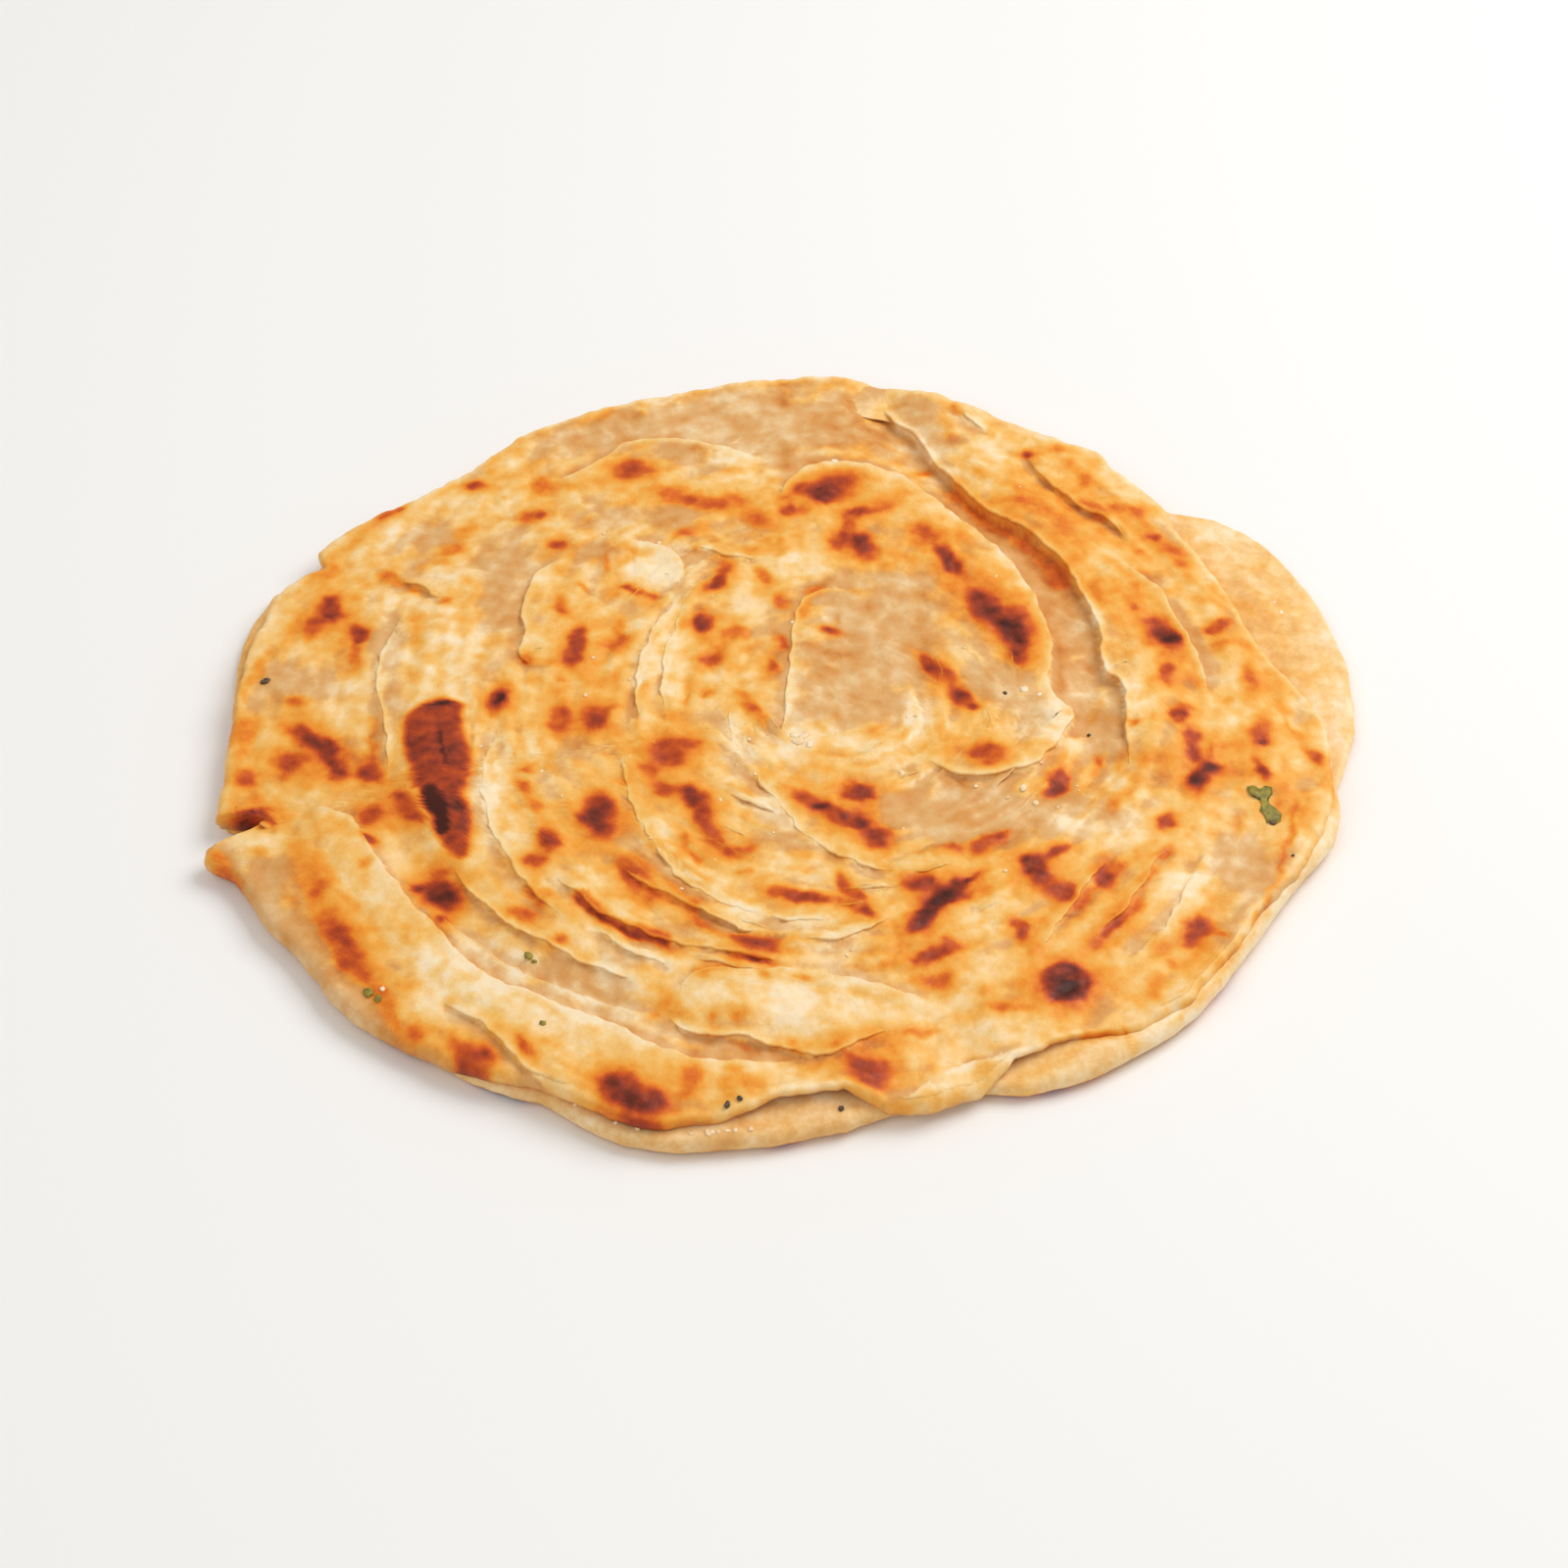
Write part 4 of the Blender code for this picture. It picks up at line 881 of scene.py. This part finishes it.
def leaf_lip(points, lift, reach, seed):
    """One free edge of a leaf, as rows of points from inside the leaf, over its rolled edge, to below."""
    path = smooth_path(points, 0.7)
    tangent = np.gradient(path, axis=0)
    tangent /= np.linalg.norm(tangent, axis=1)[:, None]
    inward = np.stack([-tangent[:, 1], tangent[:, 0]], axis=-1)
    length = np.concatenate([[0], np.cumsum(np.linalg.norm(np.diff(path, axis=0), axis=1))])
    fade = min(10, 0.3 * length[-1])
    ends = ease(length / fade) * ease((length[-1] - length) / fade)
    wave = 0.5 * noise(path[:, 0], path[:, 1], 4, seed) + 0.3 * noise(path[:, 0], path[:, 1], 1.7, seed + 1)
    path = path + inward * (wave * ends)[:, None]
    swell = 1 + 0.5 * noise(path[:, 0], path[:, 1], 5, seed + 2)
    rise = (0.1 + 0.3 * lift) * ends * swell - 0.35 * (1 - ends)
    thick = 0.2 + 0.3 * ends + 0.15 * lift
    hold = path + inward * HOLD_INSET
    rows = []
    for part in (1.0, 0.8, 0.62, 0.46, 0.32, 0.2, 0.1):
        rows.append((part * reach, rise * (1 - part) ** 1.4 - 0.3 * ease((part - 0.6) / 0.4), part))
    for bend in (90, 60, 30, 0, -30, -60, -90):
        c, s = math.cos(math.radians(bend)), math.sin(math.radians(bend))
        rows.append((thick / 2 * (1 - c), rise + thick / 2 * (s - 1), 0.0))
    rows.append((0.9, rise - thick, 0.0))
    rows.append((1.8, rise - thick - 0.3, 0.0))
    spots = np.array([path + inward * np.reshape(inside, (-1, 1)) for inside, _, _ in rows])
    levels = np.array([level + 0 * rise for _, level, _ in rows])
    held = np.array([inside + 0 * rise < HOLD_INSET for inside, _, _ in rows])
    # Rows at the rolled edge are made paler, pale crisp dough with a painted highlight; the last four rows,
    # underneath, are made darker: painted shade.
    lip_highlight_and_under_shade = np.array([ends * ease(1 - part / 0.35) for _, _, part in rows])
    lip_highlight_and_under_shade[-4:] = -1.5
    return spots, hold, levels, held, lip_highlight_and_under_shade


def leaf_lips(name, leaves, material):
    """The free edges of several leaves, as one piece."""
    parts = [leaf_lip(knots, lift, reach, number) for number, (lift, reach, knots) in enumerate(leaves)]
    flat = np.vstack([spots.reshape(-1, 2) for spots, _, _, _, _ in parts])
    holds = np.vstack([hold for _, hold, _, _, _ in parts])
    lip_highlight_and_under_shade = np.concatenate([lip_highlight_and_under_shade.ravel() for _, _, _, _, lip_highlight_and_under_shade in parts])
    heights, cook_and_painted_light, oily_and_painted_light = surface(flat[:, 0], flat[:, 1])
    hold_heights = surface(holds[:, 0], holds[:, 1])[0]
    quads, z, used, held_used = [], [], 0, 0
    for spots, hold, levels, held, _ in parts:
        rows, columns = spots.shape[:2]
        free = heights[used:used + rows * columns].reshape(rows, columns)
        carried = hold_heights[held_used:held_used + columns]
        padded = np.pad(carried, HOLD_REACH, mode="edge")
        carried = np.convolve(padded, np.ones(2 * HOLD_REACH + 1) / (2 * HOLD_REACH + 1), "valid")[None]
        z.append((np.where(held, carried, free) + levels).ravel())
        quads.append(grid_quads(rows, columns, False) + used)
        used += rows * columns
        held_used += columns
    z = np.concatenate(z)
    radius = np.hypot(flat[:, 0], flat[:, 1])
    beyond = np.maximum(radius - upper_rim(np.arctan2(flat[:, 1], flat[:, 0])) + 1.2, 0)
    flat = flat * (1 - beyond / radius)[:, None]
    z = np.minimum(z - 1.2 * ease(beyond / 2), TOP_LIMIT)
    # Paler at the rolled edge, a painted highlight on pale crisp dough; darker underneath, painted shade.
    shares = (np.clip(cook_and_painted_light * (1 - 0.3 * lip_highlight_and_under_shade), 0, 1.3), np.clip(oily_and_painted_light * (1 - 0.6 * lip_highlight_and_under_shade), 0, 1))
    return make_piece(name, np.column_stack([flat, z]), np.vstack(quads), shares, material)


def small_flakes(count, seed):
    """Short loose edges of dough along the turns of the coil: (lift, reach, points)."""
    draw = np.random.default_rng(seed)
    flakes = []
    while len(flakes) < count:
        radius = draw.uniform(12, 66)
        start = draw.uniform(-math.pi, math.pi)
        length = draw.uniform(5, 15)
        swing = 0.12 * draw.uniform(-1, 1)
        body_inside = draw.uniform() < 0.7
        at = (COIL_MIDDLE[0] + radius * math.cos(start), COIL_MIDDLE[1] + radius * math.sin(start))
        _, plain = coil_steps(np.array([at[0]]), np.array([at[1]]))
        if plain[0] < draw.uniform(0.35, 0.9):
            continue
        knots = []
        for t in np.linspace(0, 1, 4):
            turn = start + t * length / radius
            r = radius + swing * length * t
            knots.append((COIL_MIDDLE[0] + r * math.cos(turn), COIL_MIDDLE[1] + r * math.sin(turn)))
        flakes.append((draw.uniform(0.4, 0.7), draw.uniform(1.8, 3.0), knots if body_inside else knots[::-1]))
    return flakes


def ring_leaf(name, top, thick, outset, seed, material):
    """A middle leaf: only its rim shows, between the upper leaves and the lower one."""
    turn = np.linspace(-math.pi, math.pi, RIM_STEPS, endpoint=False)
    cx, cy = NOISE_CIRCLE * np.cos(turn), NOISE_CIRCLE * np.sin(turn)
    hang = drape(turn)
    rim = upper_rim(turn) + outset + 1.0 * noise(cx, cy, 17, seed) + 0.4 * noise(cx, cy, 5, seed + 1)
    tucked = at_angle(turn, TUCKED)
    rim = np.minimum(rim, SOLID_LOWER_RIM(turn) - 0.8) - 5.0 * np.maximum(hang, tucked)
    level = top + 0.35 * noise(cx, cy, 14, seed + 2) + 0.15 * noise(cx, cy, 4, seed + 3) - hang
    rows = [(-9, 0.0), (-5, 0.0), (-2.5, 0.0), (-1.2, 0.02)]
    rows += [(thick / 2 * (math.cos(math.radians(a)) - 1), thick / 2 * (math.sin(math.radians(a)) - 1))
             for a in (90, 65, 40, 15, -15, -40, -65, -90)]
    rows += [(-1.5, -thick), (-5, -thick)]
    grid = np.array([np.column_stack([(rim + out) * np.cos(turn), (rim + out) * np.sin(turn), level + up])
                     for out, up in rows])
    points = grid.reshape(-1, 3)
    x, y = points[:, 0], points[:, 1]
    cook_and_painted_light = 0.16 + 0.10 * noise(x, y, 9, seed) + 0.10 * noise(x, y, 4, seed + 1)
    oily_and_painted_light = ease(0.5 + 0.7 * noise(x, y, 7, seed + 2))
    shares = (np.clip(cook_and_painted_light, 0, 1), oily_and_painted_light)
    return make_piece(name, points, grid_quads(len(rows), RIM_STEPS, True)[:, ::-1], shares, material)


def seen_height(x, y):
    """Height of what shows from above at (x, y): the top leaf, or beyond its rim the lower one."""
    inside = np.hypot(x, y) < upper_rim(np.arctan2(y, x)) - 0.8
    thick = at_angle(np.arctan2(y, x), LOWER_THICKNESS)
    return np.where(inside, surface(x, y)[0], thick + 0.5)


def lumps(name, spots, seed, material):
    """Small uneven lumps lying on the bread, as one piece. A spot is (x, y, radius, flatness)."""
    bm = bmesh.new()
    bmesh.ops.create_icosphere(bm, subdivisions=2, radius=1)
    ball = np.array([v.co[:] for v in bm.verts])
    faces = np.array([[v.index for v in f.verts] for f in bm.faces])
    bm.free()
    draw = np.random.default_rng(seed)
    spots = np.array(spots, float)
    radius = np.hypot(spots[:, 0], spots[:, 1])
    most = lower_rim(np.arctan2(spots[:, 1], spots[:, 0])) - 2.0
    spots[:, :2] *= np.minimum(1, most / radius)[:, None]
    heights = seen_height(spots[:, 0], spots[:, 1])
    points, tris = [], []
    for k, ((x, y, radius, flatness), z) in enumerate(zip(spots, heights)):
        turn = draw.uniform(0, math.tau)
        stretch = draw.uniform(0.7, 1.3)
        shape = ball * (1 + 0.35 * noise(ball[:, 0] * 2 + k, ball[:, 1] * 2 + ball[:, 2], 1.1, k))[:, None]
        shape = shape * np.array([stretch, 1 / stretch, flatness]) * radius
        c, s = math.cos(turn), math.sin(turn)
        px = x + shape[:, 0] * c - shape[:, 1] * s
        py = y + shape[:, 0] * s + shape[:, 1] * c
        pz = np.minimum(z + 0.3 * flatness * radius + shape[:, 2], TOP_LIMIT + 0.2)
        points.append(np.column_stack([px, py, pz]))
        tris.append(faces + k * len(ball))
    points = np.vstack(points)
    cook_and_painted_light = 0.02 + 0.12 * ease(noise(points[:, 0], points[:, 1], 6, seed))
    return make_piece(name, points, np.vstack(tris), (cook_and_painted_light, 0 * cook_and_painted_light), material)


def scattered_crumbs(count, seed):
    """Crumbs thrown over the flaky parts of the bread: (x, y, radius, flatness)."""
    draw = np.random.default_rng(seed)
    crumbs = list(CRUMBS)
    while len(crumbs) < count:
        x, y = draw.uniform(-60, 70), draw.uniform(-80, 60)
        _, plain = coil_steps(np.array([x]), np.array([y]))
        if plain[0] > draw.uniform(0, 0.9) and toasting(np.array([x]), np.array([y]))[0] < 0.3:
            crumbs.append((x, y, draw.uniform(0.15, 0.42), draw.uniform(0.3, 0.7)))
    return crumbs


def herb_leaf(material):
    """A torn bit of a green leaf, lying on the bread."""
    outline = np.array(HERB_LEAF, float)
    middle = outline.mean(axis=0)
    rows = []
    for inward in (0.0, 0.35, 0.7):
        rows.append(outline + inward * (middle - outline))
    flat = np.vstack(rows + [middle[None]])
    top = surface(flat[:, 0], flat[:, 1])[0]
    curl = 0.12 + 0.15 * noise(flat[:, 0], flat[:, 1], 2.5, 3)
    n = len(outline)
    upper = np.column_stack([flat, top + curl + 0.2])
    lower = np.column_stack([flat, top + curl])
    points = np.vstack([upper, lower])
    tris = []
    for r in range(2):
        for k in range(n):
            a, b, c, d = r * n + k, r * n + (k + 1) % n, (r + 1) * n + (k + 1) % n, (r + 1) * n + k
            tris += [(a, b, c), (a, c, d)]
    tris += [(2 * n + k, 2 * n + (k + 1) % n, 3 * n) for k in range(n)]
    half = len(flat)
    under = [(a + half, c + half, b + half) for a, b, c in tris]
    side = []
    for k in range(n):
        m = (k + 1) % n
        side += [(k, k + half, m + half), (k, m + half, m)]
    blank = np.zeros(len(points))
    return make_piece("herb_leaf", points, np.array(tris + under + side), (blank, blank), material)


def lower_leaf(material):
    """The wide lower leaf, with the flat underside, its rim, and its top under the others."""
    under, over, bends = LOWER_UNDER_RINGS, LOWER_TOP_RINGS, LOWER_BEND_RINGS
    rings = under + bends + over
    ring, turn, quads = disc_grid(rings)
    rim = lower_rim(turn)
    x0, y0 = rim * np.cos(turn), rim * np.sin(turn)
    thick = at_angle(turn, LOWER_THICKNESS) + 0.25 * noise(x0, y0, 12, 4)
    flat = np.minimum(ring, under) / under
    bend = math.pi * np.clip((ring - under) / bends, 0, 1)
    back = np.clip(ring - under - bends, 0, over) * 0.85
    radius = flat * (rim - thick / 2) + thick / 2 * np.sin(bend) - back
    x, y = radius * np.cos(turn), radius * np.sin(turn)
    turn_up = 0.5 * ease((radius - 0.86 * rim) / (0.14 * rim))
    hollows = 0.12 * ease((noise(x, y, 16, 9) + 0.1) / 0.4) * (1 + noise(x, y, 5, 3))
    z = np.where(ring <= under, turn_up + hollows, turn_up + thick / 2 * (1 - np.cos(bend)))
    on_top = ring > under + bends
    climb = 0.9 * ease(back / 12) + 0.22 * noise(x, y, 9, 7) + 0.12 * noise(x, y, 4, 8)
    z = np.maximum(np.where(on_top, z + climb * ease(back / 2), z), 0)
    points = np.stack([x, y, z], axis=-1)
    below = ring <= under + 3
    spots = ease((noise(x, y, 15, 2) + 0.5 * noise(x, y, 6, 5) - 0.1) / 0.9)
    cook_below = 0.22 + 0.85 * spots + 0.1 * noise(x, y, 3, 6)
    zero = np.zeros(x.shape)
    front = window(turn, -97, 34, 6)
    toast = np.maximum(toasting(x, y) * (1 - front), ovals(x, y, LOWER_TOAST, 3.0, 3.0))
    cook_above, oily_above = dough_shares(x, y, 0.5 * relief(x, y), toast, zero, zero, LOWER_BASE_COOK)
    lobe = window(turn, 10, 66, 10) * ease((radius - rim + 13) / 11)
    right = window(turn, -38, 28, 8)
    cook_above = 0.5 * cook_above + 0.09 - 0.06 * front - 0.08 * lobe - 0.09 * right
    oily_above = 0.32 + 0.25 * oily_above + 0.2 * front - 0.12 * lobe
    shares = (np.clip(np.where(below, cook_below, cook_above), 0, 1.1),
              np.clip(np.where(below, 0.3, oily_above), 0, 1))
    return make_piece("lower_leaf", points, quads, shares, material)


# ---------------------------------------------------------------------------
# Materials
# ---------------------------------------------------------------------------
def colour(red, green, blue):
    """A screen colour, 0 to 255, as the linear values that shaders use."""
    def linear(v):
        v /= 255
        return v / 12.92 if v <= 0.04045 else ((v + 0.055) / 1.055) ** 2.4
    return (linear(red), linear(green), linear(blue), 1.0)


# How cooked, and the colour on screen. These started from colours sampled on the photo and from a palette
# worked out from it, and were then changed.
COOK_COLOURS = (
    (0.0, (253, 229, 190)), (0.10, (251, 212, 150)), (0.20, (247, 194, 110)), (0.30, (244, 176, 78)),
    (0.40, (242, 158, 53)), (0.50, (236, 138, 38)), (0.60, (223, 110, 29)), (0.70, (203, 85, 25)),
    (0.80, (177, 67, 27)), (0.90, (146, 54, 29)), (1.0, (114, 42, 24)), (1.15, (72, 27, 14)),
)
COOK_LIMIT = 1.2


class Nodes:
    """Short ways to make and join the nodes of one material."""

    def __init__(self, name):
        self.material = bpy.data.materials.new(name)
        self.material.use_nodes = True
        self.tree = self.material.node_tree
        self.shader = self.tree.nodes["Principled BSDF"]

    def node(self, kind, **settings):
        made = self.tree.nodes.new(kind)
        for key, value in settings.items():
            setattr(made, key, value)
        return made

    def join(self, source, target):
        self.tree.links.new(source, target)

    def share(self, name):
        return self.node("ShaderNodeAttribute", attribute_name=name).outputs["Fac"]

    def noise(self, scale, detail=3.0, roughness=0.55):
        place = self.node("ShaderNodeTexCoord").outputs["Object"]
        made = self.node("ShaderNodeTexNoise")
        made.inputs["Scale"].default_value = scale
        made.inputs["Detail"].default_value = detail
        made.inputs["Roughness"].default_value = roughness
        self.join(place, made.inputs["Vector"])
        return made.outputs["Fac"]

    def math(self, operation, first, second=None, third=None, clamp=False):
        made = self.node("ShaderNodeMath", operation=operation, use_clamp=clamp)
        for socket, value in zip(made.inputs, (first, second, third)):
            if value is None:
                continue
            if isinstance(value, (int, float)):
                socket.default_value = value
            else:
                self.join(value, socket)
        return made.outputs[0]

    def stir(self, value, texture, amount):
        """The value, moved up and down by a noise texture that runs from 0 to 1."""
        return self.math("ADD", value, self.math("MULTIPLY", self.math("SUBTRACT", texture, 0.5), amount))

    def step(self, value, low, high):
        made = self.node("ShaderNodeMapRange", interpolation_type="SMOOTHSTEP")
        self.join(value, made.inputs["Value"])
        made.inputs["From Min"].default_value = low
        made.inputs["From Max"].default_value = high
        return made.outputs["Result"]

    def mix(self, share, first, second):
        made = self.node("ShaderNodeMix", data_type="RGBA")
        self.join(share, made.inputs[0])
        for socket, value in ((made.inputs[6], first), (made.inputs[7], second)):
            if isinstance(value, tuple):
                socket.default_value = value
            else:
                self.join(value, socket)
        return made.outputs[2]

    def ramp(self, value, stops):
        made = self.node("ShaderNodeValToRGB")
        elements = made.color_ramp.elements
        elements[0].position, elements[0].color = stops[0]
        elements[1].position, elements[1].color = stops[-1]
        for position, shade in stops[1:-1]:
            elements.new(position).color = shade
        self.join(value, made.inputs["Fac"])
        return made.outputs["Color"]


def dough_material():
    """Toasted dough: cream to golden, orange and nearly black, with see-through hollows soaked in oil, and
    the painted highlights and shade that its shares carry.
    """
    n = Nodes("dough")
    coarse = n.noise(260, 3)
    middle = n.noise(700, 3)
    fine = n.noise(2200, 2)
    cook_and_painted_light = n.share("cook_and_painted_light")
    stirred = n.stir(n.stir(cook_and_painted_light, coarse, 0.24), middle, 0.20)
    stirred = n.stir(stirred, fine, 0.08)
    scaled = n.math("DIVIDE", stirred, COOK_LIMIT, clamp=True)
    crust = n.ramp(scaled, [(at / COOK_LIMIT, colour(*rgb)) for at, rgb in COOK_COLOURS])
    oily_and_painted_light = n.stir(n.stir(n.share("oily_and_painted_light"), middle, 0.5), coarse, 0.5)
    sheer = n.ramp(n.math("MULTIPLY", stirred, 1.0, clamp=True), (
        (0.0, colour(240, 207, 157)), (0.18, colour(227, 176, 113)), (0.38, colour(217, 149, 75)),
        (0.6, colour(192, 102, 42)), (1.0, colour(104, 42, 24))))
    shade = n.mix(n.step(oily_and_painted_light, 0.1, 0.9), crust, sheer)
    n.join(shade, n.shader.inputs["Base Color"])
    rough = n.math("MULTIPLY_ADD", middle, 0.3, 0.33)
    n.join(rough, n.shader.inputs["Roughness"])
    n.shader.inputs["Specular IOR Level"].default_value = 0.22
    n.shader.inputs["Subsurface Weight"].default_value = 0.1
    n.shader.inputs["Subsurface Radius"].default_value = (1.0, 0.45, 0.2)
    n.shader.inputs["Subsurface Scale"].default_value = 0.0012
    bump = n.node("ShaderNodeBump")
    bump.inputs["Strength"].default_value = 0.25
    bump.inputs["Distance"].default_value = 0.0005
    n.join(n.math("MULTIPLY_ADD", fine, 0.4, middle), bump.inputs["Height"])
    n.join(bump.outputs["Normal"], n.shader.inputs["Normal"])
    return n.material


def speck_material(name, light, dark, grain):
    """Crumbs, herbs and burnt specks: two shades mixed by noise."""
    n = Nodes(name)
    shade = n.mix(n.step(n.noise(grain, 3), 0.35, 0.65), colour(*light), colour(*dark))
    n.join(shade, n.shader.inputs["Base Color"])
    n.shader.inputs["Roughness"].default_value = 0.55
    return n.material


def floor_material():
    """A plain pale matt floor."""
    n = Nodes("floor")
    n.shader.inputs["Base Color"].default_value = colour(247, 246, 244)
    n.shader.inputs["Roughness"].default_value = 0.9
    return n.material


# ---------------------------------------------------------------------------
# Floor, light and camera
# ---------------------------------------------------------------------------
ROOM_COLOUR = (1.0, 0.985, 0.96, 1)
ROOM_STRENGTH = 0.50
# Square lamps that look at the middle of the bread: (name, place and size in metres, watts).
LAMPS = (
    ("key", (0.6, 0.3, 0.85), 0.7, 7.0),
    ("fill", (-0.5, -0.5, 0.9), 0.8, 2.0),
)


def build_stage():
    """The floor, a large soft light overhead, a weaker one in front and a bright room."""
    bpy.ops.mesh.primitive_plane_add(size=6, location=(0, 0, 0))
    floor = bpy.context.object
    floor.name = "floor"
    floor.data.materials.append(floor_material())
    world = bpy.data.worlds.new("room")
    world.use_nodes = True
    world.node_tree.nodes["Background"].inputs["Color"].default_value = ROOM_COLOUR
    world.node_tree.nodes["Background"].inputs["Strength"].default_value = ROOM_STRENGTH
    bpy.context.scene.world = world
    for name, place, size, power in LAMPS:
        lamp = bpy.data.lights.new(name, "AREA")
        lamp.size = size
        lamp.energy = power
        holder = bpy.data.objects.new(name, lamp)
        holder.location = place
        holder.rotation_euler = (-holder.location).to_track_quat("-Z", "Y").to_euler()
        bpy.context.scene.collection.objects.link(holder)


CAMERA_AIM = (-1.3, -13.9, 6.0)  # millimetres
CAMERA_ELEVATION = 47.5  # degrees
CAMERA_DISTANCE = 0.755  # metres
LENS = 100  # millimetres
SENSOR = 36  # millimetres


def build_camera():
    """A long lens that looks down at 47.5 degrees from in front."""
    aim = np.array(CAMERA_AIM) * METRES
    elevation = math.radians(CAMERA_ELEVATION)
    back = CAMERA_DISTANCE * math.cos(elevation)
    up = CAMERA_DISTANCE * math.sin(elevation)
    lens = bpy.data.cameras.new("camera")
    lens.lens = LENS
    lens.sensor_width = SENSOR
    holder = bpy.data.objects.new("camera", lens)
    holder.location = (aim[0], aim[1] - back, aim[2] + up)
    holder.rotation_euler = (math.pi / 2 - elevation, 0, 0)
    bpy.context.scene.collection.objects.link(holder)
    bpy.context.scene.camera = holder
    bpy.context.scene.view_settings.view_transform = "Standard"


# The leaves of which only the rim shows: (name, top, thickness, outset, seed).
RING_LEAVES = (("middle_leaf", 5.6, 1.3, 0.3, 5), ("second_leaf", 4.2, 1.2, 0.5, 9))
FLAKE_COUNT = 26
CRUMB_COUNT = 80


def main():
    dough = dough_material()
    top = top_leaf(dough)
    leaf_lips("leaf_edges", [(lift, reach, knots) for lift, reach, _, knots in LEAF_EDGES], dough)
    leaf_lips("flakes", small_flakes(FLAKE_COUNT, 5), dough)
    for name, top_height, thick, outset, seed in RING_LEAVES:
        ring_leaf(name, top_height, thick, outset, seed, dough)
    lower_leaf(dough)
    crumb = speck_material("crumb", (252, 234, 202), (245, 208, 154), 700)
    lumps("crumbs", scattered_crumbs(CRUMB_COUNT, 8), 8, crumb)
    green = speck_material("herb", (164, 146, 46), (118, 108, 34), 900)
    herb_leaf(green)
    lumps("herb_specks", GREEN_SPECKS, 3, green)
    burnt = speck_material("burnt", (104, 80, 56), (58, 43, 32), 1500)
    lumps("burnt_specks", DARK_SPECKS, 4, burnt)
    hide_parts("paratha")
    build_stage()
    build_camera()


main()
